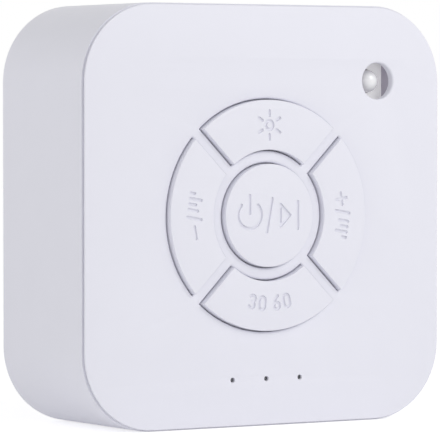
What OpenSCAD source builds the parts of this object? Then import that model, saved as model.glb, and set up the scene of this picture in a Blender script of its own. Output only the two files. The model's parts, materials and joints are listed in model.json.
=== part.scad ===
// Bedside white noise sound machine.
//
// A square unit with a flat front panel, a round key with four ring keys about it, a small
// lamp, three indicator holes, and a loudspeaker that fires out of the perforated back.
// X runs to the right, Y runs from the front to the back and Z runs up. The origin is under
// the middle of the unit, on the surface that it stands on. Depths are counted from the front
// panel's face, and heights on the face from the face's centre.

/* [Body] */
// Width and height of the square body
body_w = 92; // [90:0.5:104]
// Depth from the front panel's face to the back of the housing
body_d = 37; // [36:0.5:46]
// Radius of the four corners seen from the front
corner_r = 17; // [14:0.5:20]
// Thickness of the rear housing's walls
wall = 2; // [1.6:0.1:2.4]
// Rounding round the back of the housing
back_fillet = 2; // [1:0.1:3]

/* [Front panel] */
// Thickness of the front panel
panel_t = 1.8; // [1.5:0.1:2.2]
// How far the panel's edge stands in from the housing's side
panel_inset = 0.3; // [0.1:0.05:0.4]
// Thickness of the panel's rim, in front of the parting groove
rim_t = 0.4; // [0.4:0.1:1.2]
// Rounding round the front of the panel
front_fillet = 0.2; // [0.1:0.1:0.4]
// Width of the parting groove
seam_w = 0.5; // [0.2:0.05:0.7]
// Depth of the parting groove into the wall
seam_depth = 0.9; // [0.5:0.1:1.1]
// Height of the lip that locates the panel in the housing
lip_h = 3; // [2:0.5:4]
// Thickness of the locating lip
lip_t = 1.2; // [0.8:0.1:1.4]
// Clearance between the lip and the housing
lip_gap = 0.15; // [0.1:0.05:0.3]

/* [Keys] */
// Radius of the middle key's opening
hub_r = 11.55; // [10.5:0.05:12]
// Width of the round web between the middle key and the ring keys
web_w = 2.5; // [2:0.05:3]
// Outer radius of the ring keys' openings
pad_r = 25.5; // [24:0.1:26]
// Width of the four diagonal bars between the ring keys
bar_w = 2.5; // [2.4:0.1:3.4]
// Clearance round each key in its opening
key_gap = 0.3; // [0.25:0.05:0.6]
// Height of the keys above the panel
key_proud = 1.2; // [0.8:0.1:1.6]
// Rounding along a key's front edge
key_edge = 0.15; // [0.1:0.05:0.5]
// Thickness of a key's front wall
key_skin = 1.6; // [1.2:0.1:2]
// Thickness of a key's side walls
key_wall = 1.2; // [0.9:0.1:1.5]
// Travel of each key
key_travel = 0.6; // [0.3:0.1:0.8]
// Thickness of the flange that keeps a key behind the panel
flange_t = 1; // [0.8:0.1:1.2]
// Clearance between a key's flange and the panel
flange_gap = 0.1; // [0.05:0.05:0.3]
// Clearance between the flanges of two neighbouring keys
flange_space = 0.9; // [0.5:0.1:1.1]
// Radius of the stem that presses the switch
stem_r = 1.6; // [1.2:0.1:2]

/* [Symbols] */
// Width of the engraved lines
line_w = 0.6; // [0.4:0.05:0.8]
// Depth of the engraved lines
line_depth = 0.4; // [0.15:0.05:0.5]
// Radius of the ring that the side and lower symbols follow
symbol_r = 19.2; // [18.5:0.1:20]
// Height of the sun symbol above the face's centre
sun_z = 19.7; // [19:0.1:20.5]
// Height of the figures and bars
figure_h = 3.4; // [2.8:0.1:4]
// Width of one figure
figure_w = 2.1; // [1.8:0.1:2.4]

/* [Lamp and indicators] */
// Distance of the lamp hole's centre from the top and from the right side
lamp_inset = 16.6; // [16.2:0.1:17.5]
// Radius of the lamp hole
lamp_r = 4.05; // [3:0.05:4.2]
// Rounding round the lamp hole
lamp_rim = 0.45; // [0.2:0.05:0.6]
// Half of the light cup's inner width
cup_half = 4.5; // [4.3:0.1:4.8]
// Thickness of the light cup's walls
cup_wall = 0.9; // [0.7:0.1:1]
// Depth of the light cup's floor
cup_floor_d = 5.3; // [4.8:0.1:6]
// Thickness of the light cup's floor
cup_floor_t = 1; // [0.8:0.1:1.2]
// Radius of the lamp's dome
led_r = 2.5; // [1.5:0.1:2.6]
// Depth of the tip of the lamp's dome
led_tip_d = 2; // [1.6:0.1:2.6]
// Height of the indicator holes above the panel's lower edge
dot_rise = 10.3; // [9:0.1:11.5]
// Distance between two indicator holes
dot_pitch = 8.7; // [7:0.1:10]
// Radius of an indicator hole
dot_r = 0.55; // [0.45:0.05:0.8]
// Depth of the light guide's tips below the panel's face
guide_sunk = 0.5; // [0.2:0.1:1]

/* [Main board] */
// Depth of the main board's front side
board_d = 9; // [8.5:0.1:10]
// Thickness of the main board
board_t = 1.6; // [1:0.1:2]
// Distance from the light cup to the board's edge, and from the indicators to its lower edge
board_edge = 0.3; // [0.2:0.1:0.5]
// Width of a switch
switch_w = 6; // [5:0.5:7]
// Height of a switch's case
switch_h = 3.5; // [2.5:0.1:3.8]
// Radius of a switch's plunger
plunger_r = 1.7; // [1.3:0.1:1.8]
// Height of a switch's plunger above its case
plunger_out = 1; // [0.9:0.1:1.2]
// Clearance round a switch's plunger
plunger_gap = 0.3; // [0.3:0.05:0.4]

/* [Housing screws] */
// Distance of the screw posts from the left and right sides
post_inset = 7; // [6.6:0.1:7.4]
// Height of the screw posts above and below the centre
post_z = 16; // [14:0.5:18]
// Radius of a housing screw's thread
screw_r = 1.2; // [1:0.1:1.3]
// Radius of a housing screw's head
head_r = 2.3; // [2:0.1:2.5]
// Depth at which the panel's posts meet the housing's posts
meet_d = 12.5; // [12:0.5:14]

/* [Loudspeaker] */
// Clearance from the loudspeaker's flange to the housing's top wall
speaker_top = 2; // [1.5:0.5:3.5]
// Radius of the loudspeaker's flange
speaker_r = 25; // [24:0.5:25]
// Depth of the basket from its flange to its floor
basket_h = 6.4; // [6:0.1:7]
// Radius of the ring magnet
magnet_r = 16; // [14:0.5:17]
// Thickness of the ring magnet
magnet_t = 4.5; // [4:0.5:5.5]
// Radius of the pole
pole_r = 6.4; // [5.5:0.1:6.8]
// Clearance on each side of the voice coil
coil_gap = 0.35; // [0.3:0.05:0.5]
// Outer radius of the cone
cone_r = 17.6; // [16.5:0.1:18]
// Radius of the rolled part of the surround
roll_r = 1.6; // [1.2:0.1:1.6]
// Travel of the cone to each side
cone_travel = 0.8; // [0.3:0.1:0.8]
// Radius of one hole in the back
grille_r = 0.9; // [0.6:0.05:1.1]
// Distance between two rings of holes
grille_pitch = 3.6; // [3:0.1:3.8]
// Number of rings of holes round the middle hole
grille_rings = 5; // [3:1:5]

/* [Battery and charging] */
// Length of the battery
cell_l = 40; // [34:1:44]
// Height of the battery
cell_h = 23; // [20:1:26]
// Thickness of the battery
cell_t = 9; // [6:0.5:10]
// Thickness of the foam pad behind the battery
pad_t = 1; // [0.5:0.1:1.5]
// Clearance from the battery's end to the housing's side wall
cell_side = 11; // [8:0.5:12]
// Clearance from the battery to the housing's bottom wall
cell_under = 2; // [1.5:0.5:6]
// Distance of the charging socket from the housing's side wall, to its middle
port_side = 17; // [16:0.5:19]
// Distance of the charging socket from the housing's bottom wall, to its middle
port_rise = 10; // [8:0.5:12]
// Width of the charging socket
port_w = 8.9; // [8:0.1:9.2]
// Height of the charging socket
port_h = 3.2; // [2.8:0.1:3.6]
// Length of the charging socket
port_l = 7.3; // [6.5:0.1:8.5]

/* [Hidden] */
$fn = 96;
// How far a cutting shape runs past the surface that it cuts
cut = 1;
root2 = sqrt(2);

// Frame
mid_z = body_w / 2;
face_y = (key_proud - body_d) / 2;
back_in = body_d - wall;
inner_half = body_w / 2 - wall;
edge_fillet = min(front_fillet, rim_t);
lip_w = body_w - 2 * (wall + lip_gap);
lip_corner = corner_r - wall - lip_gap;

// Keys and switches
ring_r = hub_r + web_w;
flange_w = (min(web_w, bar_w) - flange_space) / 2;
key_back = panel_t + flange_gap + flange_t;
switch_top = board_d - switch_h;
stem_end = switch_top - plunger_out;
ring_switch_r = (ring_r + pad_r) / 2;
plunger_deep = 0.7;
bore_spare = 0.2;

// Lamp, indicators and board
lamp_c = body_w / 2 - lamp_inset;
cup_out = cup_half + cup_wall;
led_flange_r = led_r + 0.6;
led_flange_t = 1;
led_foot_d = board_d - 0.3;
led_leg_r = 0.25;
led_legs = [-1.27, 1.27];
board_half = lamp_c + cup_out + board_edge;
dot_z = dot_rise - body_w / 2;
board_low = 3 + board_edge - dot_z;
board_back = board_d + board_t;
dots = [-dot_pitch, 0, dot_pitch];
indicator_t = 0.8;
guide_r = dot_r - 0.1;
guide_foot_r = 1.2;
guide_bar_t = 1.2;
guide_bar_h = 3;

// Posts and screws
board_post_r = 2.4;
board_post_x = board_half - 7;
board_post_top = board_half - 3;
board_post_low = board_low - 6;
board_post_lamp = lamp_c - cup_out - board_post_r - 7.6;
board_posts = [
  [-board_post_x, board_post_top], [board_post_lamp, board_post_top],
  [-board_post_x, -board_post_low], [board_post_x, -board_post_low]
];
board_screw_r = 0.8;
board_head_r = 1.7;
board_head_t = 1.3;
board_grip = 5;
board_pilot = 6;
charge_grip = 4;
charge_pilot = 5;
speaker_grip = 2;
thread_gap = 0.05;
hole_gap = 0.25;
post_x = body_w / 2 - post_inset;
post_r = head_r + 1.2;
// How much slimmer the panel's posts are than the housing's posts that they meet
post_step = 0.6;
// Depth in the panel's plate at which its lip and posts are rooted
root_d = (rim_t + panel_t) / 2;
seat_t = 2.5;
head_t = 1.8;
screw_l = 9;
rib_t = 1.2;

// Loudspeaker, as depths
gasket_t = 0.8;
film_t = 0.3;
cloth_t = 0.3;
cloth_clear = 0.2;
seat_rib_h = roll_r + cone_travel + cloth_clear + cloth_t - gasket_t - film_t;
basket_t = 1;
top_plate_t = 2;
yoke_t = 2;
speaker_z = inner_half - speaker_top - speaker_r;
rim_d = back_in - seat_rib_h - gasket_t - film_t;
floor_d = rim_d - basket_h;
plate_d = floor_d - basket_t;
magnet_d = plate_d - top_plate_t;
yoke_d = magnet_d - magnet_t;
former_t = 0.2;
winding_t = 0.3;
winding_l = 3.2;
coil_r = pole_r + coil_gap + former_t;
plate_hole_r = coil_r + winding_t + coil_gap;
bowl_r = speaker_r - 3.4;
bowl_wall = 0.8;
bowl_low_r = magnet_r + 0.2;
ledge_t = 1;
ledge_w = 2.4;
spider_d = floor_d + ledge_t;
spider_t = 0.4;
neck_d = spider_d + spider_t + 0.8;
cone_t = 0.5;
cone_rise = rim_d - cone_t - neck_d;
cap_r = coil_r + 1.4;
cap_h = 2;
cap_t = 0.3;
roll_c = cone_r + roll_r + 0.1;
speaker_boss_r = 2.2;
speaker_boss_c = speaker_r + speaker_boss_r + 0.4;
speaker_boss_xz = speaker_boss_c / root2;
speaker_head_r = 3.2;
speaker_head_t = 1.1;
tag_t = 1;

// Battery and charging
cell_round = 2;
cell_seat = back_in - pad_t;
cell_x = cell_side + cell_l / 2 - inner_half;
cell_z = cell_under + cell_h / 2 - inner_half;
cell_end = cell_x + cell_l / 2;
guard_t = 1;
guard_h = 5;
port_x = inner_half - port_side;
port_z = port_rise - inner_half;
charge_w = 15;
charge_l = 14;
charge_t = 1.2;
charge_top = port_z - port_h / 2;
charge_under = charge_top - charge_t;
charge_front = back_in - 0.3 - charge_l;
charge_screw_x = 5.3;
charge_screw_d = charge_front + 3.5;
charge_boss_r = 2;
port_clear = 0.25;
port_sunk = 0.6;

// Sockets for the leads on the back of the main board, by their distance from its edges
socket_w = 5;
socket_h = 7;
socket_l = 5;
socket_side = 10;
socket_rise = 20;
charge_side = 19;
charge_rise = 6;
battery_socket = [board_half - socket_side, socket_rise - board_low];
charge_lead_socket = [board_half - charge_side, charge_rise - board_low];
speaker_socket = [socket_side - board_half, socket_rise - board_low];
sockets = [battery_socket, charge_lead_socket, speaker_socket];
socket_wall = 0.7;
plug_gap = 0.15;
plug_out = 1.6;
lead_pitch = 2;
lead_r = 0.6;
lead_sides = 8;
lead_steps = 3;
plug_back = board_back + socket_l + plug_out;
battery_lead_d = cell_seat - cell_t / 2 - 1.5;
tag_d = rim_d - basket_t - tag_t;
tag_z = speaker_z - (bowl_r + speaker_r) / 2;

// ---------- Frames and outlines ----------

// The panel's face: x to the right, y up, z out of the face
module on_face() {
  translate([0, face_y, mid_z]) rotate([90, 0, 0]) children();
}

// Gives an outline on the face a thickness that starts at a depth and runs inwards
module slab(depth, thickness) {
  on_face() translate([0, 0, -depth - thickness]) linear_extrude(thickness) children();
}

// Turns a shape's z axis into depth, at a place on the face
module inwards(x, z, depth) {
  translate([x, face_y + depth, mid_z + z]) rotate([-90, 0, 0]) children();
}

// Block given by its centre on the face, its depth and its size in x, depth and z
module block(x, z, depth, size) {
  translate([x - size.x / 2, face_y + depth, mid_z + z - size.z / 2]) cube(size);
}

module ring(depth, thickness, outer, inner) {
  translate([0, 0, depth]) difference() {
    cylinder(h = thickness, r = outer);
    translate([0, 0, -cut]) cylinder(h = thickness + 2 * cut, r = inner);
  }
}

module rounded_outline(w, r) {
  square([w - 2 * r, w], center = true);
  square([w, w - 2 * r], center = true);
  for (x = [-1, 1], y = [-1, 1]) translate([x, y] * (w / 2 - r)) circle(r);
}

// Section through a soft block's side: its lower outer corner is rounded
module edge_section(r, t, fillet) {
  square([r - fillet, t]);
  intersection() {
    square([r, t]);
    translate([r - fillet, fillet]) circle(fillet);
  }
  if (t > fillet) translate([0, fillet]) square([r, t - fillet]);
}

// Square block with round corners and a rounded edge about its z = 0 side
module soft_block(w, r, t, fillet) {
  c = w / 2 - r;
  translate([-c, -c, 0]) cube([2 * c, 2 * c, t]);
  for (turn = [0:90:270]) rotate(turn) translate([c, c, 0]) {
    rotate_extrude() edge_section(r, t, fillet);
    rotate([90, 0, 0]) linear_extrude(2 * c) edge_section(r, t, fillet);
  }
}

// ---------- Symbols on the keys ----------

// Straight line between two points
module line(a, b) {
  run = b - a;
  translate(a) rotate(atan2(run.y, run.x)) translate([0, -line_w / 2]) square([norm(run), line_w]);
}

// Arc about the origin, counter-clockwise between two angles
module arc(r, from, to) {
  reach = 2 * (r + line_w);
  fan = [for (i = [0:8]) reach * [cos(from + (to - from) * i / 8), sin(from + (to - from) * i / 8)]];
  intersection() {
    difference() {
      circle(r + line_w / 2);
      circle(r - line_w / 2);
    }
    polygon(concat([[0, 0]], fan));
  }
}

// Open circle with a stroke through its gap, a slash, and a triangle against a bar
module power_symbol() {
  translate([-5.05, 0.2]) {
    arc(3, 135, 405);
    line([0, 0], [0, 4.5]);
  }
  line([-0.7, -3.9], [0.8, 4]);
  translate([2.6, 0]) play_triangle(3.2, 3.1);
  line([7.4, -3.25], [7.4, 3.25]);
}

// Outline of a triangle that points to the right; its inner edges are one line width in
module play_triangle(length, half) {
  slant = norm([length, half]);
  tip = length - line_w * slant / half;
  inner_half_h = (tip - line_w) * half / length;
  difference() {
    polygon([[0, half], [0, -half], [length, 0]]);
    polygon([[line_w, inner_half_h], [line_w, -inner_half_h], [tip, 0]]);
  }
}

// Small circle with six rays
module sun_symbol() {
  translate([0, sun_z]) {
    arc(0.95, 0, 180);
    arc(0.95, 180, 360);
    for (turn = [30:60:330]) rotate(turn) line([1.8, 0], [3.4, 0]);
  }
}

// Places a figure on the symbol ring; its top points to the face's centre
module on_ring(turn) {
  rotate(turn) translate([0, -symbol_r]) children();
}

module slash() {
  line([-0.4, -2], [0.4, 2]);
}

// Four bars of different heights
module sound_bars() {
  heights = [0.45, 1, 0.65, 0.85] * figure_h;
  for (i = [0:3]) translate([(i - 1.5) * 1.2, -figure_h / 2]) line([0, 0], [0, heights[i]]);
}

module minus_symbol() {
  on_ring(-9.5) sound_bars();
  on_ring(1) slash();
  on_ring(10.3) line([-1.6, 0], [1.6, 0]);
}

module plus_symbol() {
  on_ring(-9.5) sound_bars();
  on_ring(1.5) slash();
  on_ring(10.3) {
    line([-1.6, 0], [1.6, 0]);
    line([0, -1.6], [0, 1.6]);
  }
}

// The bows of the figures, and the distance of their centres from the middle
bow_r = (figure_w - line_w) / 2;
bow_z = (figure_h - figure_w) / 2;
three_r = (figure_h - line_w) / 4;

module figure_zero() {
  translate([0, bow_z]) arc(bow_r, 0, 180);
  translate([0, -bow_z]) arc(bow_r, 180, 360);
  for (x = [-bow_r, bow_r]) line([x, -bow_z], [x, bow_z]);
}

module figure_three() {
  translate([0, three_r]) arc(three_r, -90, 150);
  translate([0, -three_r]) arc(three_r, -150, 90);
}

module figure_six() {
  stem = 3.3 * bow_r;
  translate([0, -bow_z]) {
    arc(bow_r, 0, 180);
    arc(bow_r, 180, 360);
    translate([stem - bow_r, 0]) arc(stem, 118, 180);
  }
}

module timer_symbol() {
  on_ring(-13.4) figure_three();
  on_ring(-5.6) figure_zero();
  on_ring(5.6) figure_six();
  on_ring(13.4) figure_zero();
}

// ---------- Keys ----------

// Outline of the top ring key; grow moves every edge outwards
module ring_key_outline(grow) {
  side = (bar_w / 2 - grow) * root2;
  reach = 2 * pad_r;
  intersection() {
    difference() {
      circle(pad_r + grow);
      circle(ring_r - grow);
    }
    polygon([[0, side], [reach, side + reach], [-reach, side + reach]]);
  }
}

// Radial section of a key's body between two radii, with rounded front edges
module key_section(inner, outer) {
  low = -key_back;
  high = key_proud;
  soft_in = inner > 0 ? key_edge : 0;
  translate([inner, low]) square([outer - inner, high - key_edge - low]);
  translate([inner + soft_in, low]) square([outer - inner - key_edge - soft_in, high - low]);
  translate([outer - key_edge, high - key_edge]) circle(key_edge);
  if (inner > 0) translate([inner + key_edge, high - key_edge]) circle(key_edge);
}

// Everything on one side of a diagonal bar, with a bevelled front edge along the bar
module key_side(turn) {
  from = bar_w / 2 + key_gap;
  bevel = 0.6 * key_edge;
  reach = 2 * pad_r;
  low = -key_back - cut;
  high = key_proud + cut;
  rotate(turn) rotate([90, 0, 0]) linear_extrude(2 * reach, center = true) polygon([
    [from, low], [reach, low], [reach, high], [from + bevel + cut, high], [from, key_proud - bevel]
  ]);
}

// Retaining flange, stem and engraving are the same on every key. The children are the outline
// of the flange, the outline of the hollow behind and the symbol.
module key_finish(stem_at) {
  difference() {
    union() {
      difference() {
        union() {
          children(0);
          translate([0, 0, -key_back]) linear_extrude(flange_t) children(1);
        }
        translate([0, 0, -key_back - cut])
          linear_extrude(key_back + cut + key_proud - key_skin) children(2);
      }
      translate([0, stem_at, -stem_end])
        cylinder(h = stem_end + key_proud - key_skin / 2, r = stem_r);
    }
    translate([0, 0, key_proud - line_depth]) linear_extrude(line_depth + cut) children(3);
  }
}

// A ring key drawn at the top; turn takes it and its outline round the ring, and the symbol,
// which is drawn where it ends up, is turned back first
module ring_key(turn) {
  on_face() rotate(turn) key_finish(ring_switch_r) {
    intersection() {
      rotate_extrude() key_section(ring_r + key_gap, pad_r - key_gap);
      key_side(45);
      key_side(135);
    }
    ring_key_outline(flange_w);
    ring_key_outline(-key_gap - key_wall);
    rotate(-turn) children();
  }
}

module power_key() {
  color("ghostwhite") on_face() key_finish(0) {
    rotate_extrude() key_section(0, hub_r - key_gap);
    circle(hub_r + flange_w);
    circle(hub_r - key_gap - key_wall);
    power_symbol();
  }
}

module light_key() {
  color("ghostwhite") ring_key(0) sun_symbol();
}

module minus_key() {
  color("ghostwhite") ring_key(90) rotate(-90) minus_symbol();
}

module timer_key() {
  color("ghostwhite") ring_key(180) timer_symbol();
}

module plus_key() {
  color("ghostwhite") ring_key(270) rotate(90) plus_symbol();
}

// ---------- Switches ----------

// Places of the five switches on the face
power_at = [0, 0];
light_at = [0, ring_switch_r];
minus_at = [-ring_switch_r, 0];
plus_at = [ring_switch_r, 0];
timer_at = [0, -ring_switch_r];
switches = [power_at, light_at, minus_at, plus_at, timer_at];

// Square case with a blind bore for its plunger
module switch_case(at) {
  color("dimgray") difference() {
    block(at.x, at.y, switch_top, [switch_w, switch_h, switch_w]);
    inwards(at.x, at.y, switch_top - cut)
      cylinder(h = cut + plunger_deep + key_travel + bore_spare, r = plunger_r + plunger_gap);
  }
}

module switch_plunger(at) {
  color("gainsboro") inwards(at.x, at.y, stem_end)
    cylinder(h = plunger_out + plunger_deep, r = plunger_r);
}

module power_switch_case() { switch_case(power_at); }
module light_switch_case() { switch_case(light_at); }
module minus_switch_case() { switch_case(minus_at); }
module plus_switch_case() { switch_case(plus_at); }
module timer_switch_case() { switch_case(timer_at); }
module power_switch_plunger() { switch_plunger(power_at); }
module light_switch_plunger() { switch_plunger(light_at); }
module minus_switch_plunger() { switch_plunger(minus_at); }
module plus_switch_plunger() { switch_plunger(plus_at); }
module timer_switch_plunger() { switch_plunger(timer_at); }

// Four flat legs on each switch, soldered to the front of the board
module switch_legs() {
  leg = [1.2, 0.3, 0.7];
  out = (switch_w + leg.x) / 2;
  color("silver") for (at = switches, x = [-out, out], z = [-2.2, 2.2])
    block(at.x + x, at.y + z, board_d - leg.y, leg);
}

// ---------- Front panel ----------

// Openings for the five keys
module key_openings() {
  circle(hub_r);
  for (turn = [0:90:270]) rotate(turn) ring_key_outline(0);
}

// Hole with a rounded mouth; the radius is that of its straight part
module lamp_hole() {
  translate([lamp_c, lamp_c, 0]) {
    translate([0, 0, -panel_t - cut]) cylinder(h = panel_t + 2 * cut, r = lamp_r);
    rotate_extrude() difference() {
      translate([0, -lamp_rim]) square([lamp_r + lamp_rim, lamp_rim + cut]);
      translate([lamp_r + lamp_rim, -lamp_rim]) circle(lamp_rim);
    }
  }
}

module front_panel() {
  color("ghostwhite") difference() {
    union() {
      inwards(0, 0, 0)
        soft_block(body_w - 2 * panel_inset, corner_r - panel_inset, rim_t, edge_fillet);
      slab(rim_t / 2, panel_t - rim_t / 2) rounded_outline(lip_w, lip_corner);
      slab(root_d, panel_t + lip_h - root_d) difference() {
        rounded_outline(lip_w, lip_corner);
        rounded_outline(lip_w - 2 * lip_t, lip_corner - lip_t);
      }
      for (at = board_posts)
        inwards(at.x, at.y, root_d) cylinder(h = board_d - root_d, r = board_post_r);
      for (x = [-post_x, post_x], z = [-post_z, post_z])
        inwards(x, z, root_d) cylinder(h = meet_d - root_d, r = post_r - post_step);
    }
    slab(-cut, panel_t + 2 * cut) key_openings();
    on_face() lamp_hole();
    for (x = dots) inwards(x, dot_z, -cut) cylinder(h = panel_t + 2 * cut, r = dot_r);
    for (at = board_posts)
      inwards(at.x, at.y, board_d - board_pilot)
        cylinder(h = board_pilot + cut, r = board_screw_r + thread_gap);
    for (x = [-post_x, post_x], z = [-post_z, post_z])
      inwards(x, z, meet_d + seat_t - screw_l) cylinder(h = screw_l, r = screw_r + thread_gap);
  }
}

// ---------- Rear housing ----------

// Rings of holes in front of the loudspeaker
module grille_holes() {
  circle(grille_r);
  for (n = [1:grille_rings], i = [0:6 * n - 1])
    rotate(60 * i / n) translate([n * grille_pitch, 0]) circle(grille_r);
}

// Slot with round ends, as wide and as high as given
module port_outline(w, h) {
  square([w - h, h], center = true);
  for (x = [-1, 1]) translate([x * (w - h) / 2, 0]) circle(h / 2);
}

module housing_posts() {
  seat_d = meet_d;
  rib = inner_half - post_x - post_r + cut;
  for (x = [-1, 1], z = [-1, 1]) {
    inwards(x * post_x, z * post_z, seat_d) cylinder(h = back_in - seat_d + wall / 2, r = post_r);
    block(x * (post_x + post_r + rib / 2 - cut / 2), z * post_z, seat_d + 2,
      [rib + cut, back_in - seat_d - 2 + wall / 2, rib_t]);
  }
}

// Low ribs that frame the battery on the back wall
module battery_ribs() {
  gap = 0.4;
  high = 5;
  top = cell_z + cell_h / 2 + gap + rib_t / 2;
  block(cell_x, top, back_in - high, [cell_l - 10, high + wall / 2, rib_t]);
  for (x = [cell_x - cell_l / 2 - gap - rib_t / 2, cell_end + guard_t + 2 * gap + rib_t / 2])
    block(x, cell_z, back_in - high, [rib_t, high + wall / 2, cell_h - 8]);
}

// Bosses under the charging board and a shelf for its rear edge
module charge_supports() {
  low = -inner_half - wall / 2;
  for (x = [-charge_screw_x, charge_screw_x])
    translate([port_x + x, face_y + charge_screw_d, mid_z + low])
      cylinder(h = charge_under - low, r = charge_boss_r);
  block(port_x, charge_under - 1, back_in - 2, [charge_w - 3, 2 + wall / 2, 2]);
}

module rear_housing() {
  color("ghostwhite") difference() {
    union() {
      difference() {
        translate([0, face_y + body_d, mid_z]) rotate([90, 0, 0])
          soft_block(body_w, corner_r, body_d - rim_t, back_fillet);
        slab(rim_t - cut, back_in - rim_t + cut) rounded_outline(2 * inner_half, corner_r - wall);
      }
      intersection() {
        slab(0, body_d) rounded_outline(body_w - wall, corner_r - wall / 2);
        union() {
          housing_posts();
          battery_ribs();
          charge_supports();
        }
      }
      inwards(0, speaker_z, 0)
        ring(back_in - seat_rib_h, seat_rib_h + wall / 2, speaker_r - 0.2, bowl_r + 0.6);
      for (x = [-1, 1], z = [-1, 1])
        inwards(x * speaker_boss_xz, speaker_z + z * speaker_boss_xz, rim_d - basket_t)
          cylinder(h = back_in - rim_d + basket_t + wall / 2, r = speaker_boss_r);
    }
    // Parting groove: the front of the wall is stepped back outside
    slab(rim_t - cut, seam_w + cut) difference() {
      square(2 * body_w, center = true);
      rounded_outline(body_w - 2 * seam_depth, corner_r - seam_depth);
    }
    translate([0, 0, speaker_z]) slab(back_in - cut, wall + 2 * cut) grille_holes();
    for (x = [-post_x, post_x], z = [-post_z, post_z]) inwards(x, z, 0) {
      translate([0, 0, meet_d - cut]) cylinder(h = body_d, r = screw_r + hole_gap);
      translate([0, 0, meet_d + seat_t]) cylinder(h = body_d, r = head_r + hole_gap);
    }
    for (x = [-1, 1], z = [-1, 1])
      inwards(x * speaker_boss_xz, speaker_z + z * speaker_boss_xz, rim_d - basket_t - cut)
        cylinder(h = cut + basket_t + speaker_grip + 0.3, r = board_screw_r + thread_gap);
    for (x = [-charge_screw_x, charge_screw_x])
      translate([port_x + x, face_y + charge_screw_d, mid_z + charge_under - charge_pilot])
        cylinder(h = charge_pilot + cut, r = board_screw_r + thread_gap);
    translate([port_x, 0, port_z]) {
      slab(back_in - cut, wall + 2 * cut)
        port_outline(port_w + 2 * port_clear, port_h + 2 * port_clear);
      slab(body_d - port_sunk, cut) port_outline(port_w + 3.4, port_h + 3.4);
    }
  }
}

// Pan-head screw along z: the head lies below z = 0 and the thread runs up from it
module screw(thread_r, length, cap_r, cap_t) {
  cylinder(h = length, r = thread_r);
  difference() {
    translate([0, 0, -cap_t]) cylinder(h = cap_t, r = cap_r);
    for (turn = [0, 90]) rotate(turn)
      translate([-cap_r * 0.6, -cap_r * 0.12, -cap_t - cut])
        cube([cap_r * 1.2, cap_r * 0.24, cap_t * 0.6 + cut]);
  }
}

module housing_screws() {
  color("darkgray") for (x = [-post_x, post_x], z = [-post_z, post_z])
    inwards(x, z, meet_d + seat_t) mirror([0, 0, 1]) screw(screw_r, screw_l - 1, head_r, head_t);
}

// ---------- Main board ----------

module main_board() {
  color("seagreen") difference() {
    slab(board_d, board_t)
      translate([-board_half, -board_low]) square([2 * board_half, board_low + board_half]);
    for (at = board_posts) inwards(at.x, at.y, board_d - cut)
      cylinder(h = board_t + 2 * cut, r = board_screw_r + hole_gap);
    for (x = led_legs) inwards(lamp_c + x, lamp_c, board_d - cut)
      cylinder(h = board_t + 2 * cut, r = led_leg_r + 0.2);
  }
}

module board_screws() {
  color("silver") for (at = board_posts)
    inwards(at.x, at.y, board_back) mirror([0, 0, 1])
      screw(board_screw_r, board_t + board_grip, board_head_r, board_head_t);
}

// Square light cup that stands on the board and reaches the panel round the lamp hole
module lamp_cup() {
  color("white") difference() {
    block(lamp_c, lamp_c, panel_t, [2 * cup_out, board_d - panel_t, 2 * cup_out]);
    block(lamp_c, lamp_c, panel_t - cut, [2 * cup_half, cup_floor_d - panel_t + cut, 2 * cup_half]);
    block(lamp_c, lamp_c, cup_floor_d + cup_floor_t, [2 * cup_half, board_d, 2 * cup_half]);
    inwards(lamp_c, lamp_c, cup_floor_d - cut) cylinder(h = cup_floor_t + 2 * cut, r = led_r + 0.2);
  }
}

// Clear lamp: a dome on a straight body with a flange at its foot
module lamp_led() {
  color("lightyellow") inwards(lamp_c, lamp_c, 0) {
    translate([0, 0, led_tip_d + led_r]) sphere(led_r);
    translate([0, 0, led_tip_d + led_r]) cylinder(h = led_foot_d - led_tip_d - led_r, r = led_r);
    translate([0, 0, led_foot_d - led_flange_t]) cylinder(h = led_flange_t, r = led_flange_r);
  }
}

module lamp_led_legs() {
  color("silver") for (x = led_legs)
    inwards(lamp_c + x, lamp_c, led_foot_d) cylinder(h = board_back + 1.2 - led_foot_d, r = led_leg_r);
}

module indicator_leds() {
  color("khaki") for (x = dots) block(x, dot_z, board_d - indicator_t, [1.6, indicator_t, 0.8]);
}

// Clear strip on the back of the panel, with a tip in each hole and a foot at each indicator
module light_guide() {
  color("azure") union() {
    block(0, dot_z, panel_t, [2 * dot_pitch + guide_bar_h, guide_bar_t, guide_bar_h]);
    for (x = dots) {
      inwards(x, dot_z, guide_sunk) cylinder(h = panel_t + guide_bar_t - guide_sunk, r = guide_r);
      inwards(x, dot_z, panel_t) cylinder(h = board_d - indicator_t - 0.2 - panel_t, r = guide_foot_r);
    }
  }
}

// Chips on the back of the board: place, and size in x, depth and z
sound_chip_drop = 15.1;
sound_chip_at = [-8, board_half - sound_chip_drop];
sound_chip_size = [10, 1.6, 4];
memory_chip_at = [11 - board_half, 12];
memory_chip_size = [5, 1.5, 4];
amplifier_chip_at = [15 - board_half, -2];
amplifier_chip_size = [5, 1.5, 4];
leg_pitch = 1.27;

module chip(at, size) {
  block(at.x, at.y, board_back + 0.1, [size.x, size.y - 0.1, size.z]);
}

module chip_leg_rows(at, size) {
  pairs = floor(size.x / leg_pitch);
  leg = [0.4, 0.5, 1];
  for (i = [0:pairs - 1], side = [-1, 1])
    block(at.x + (i - (pairs - 1) / 2) * leg_pitch, at.y + side * (size.z + leg.z) / 2, board_back, leg);
}

module sound_chip() { color("#303034") chip(sound_chip_at, sound_chip_size); }
module memory_chip() { color("#303034") chip(memory_chip_at, memory_chip_size); }
module amplifier_chip() { color("#303034") chip(amplifier_chip_at, amplifier_chip_size); }

module chip_legs() {
  color("silver") {
    chip_leg_rows(sound_chip_at, sound_chip_size);
    chip_leg_rows(memory_chip_at, memory_chip_size);
    chip_leg_rows(amplifier_chip_at, amplifier_chip_size);
  }
}

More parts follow.
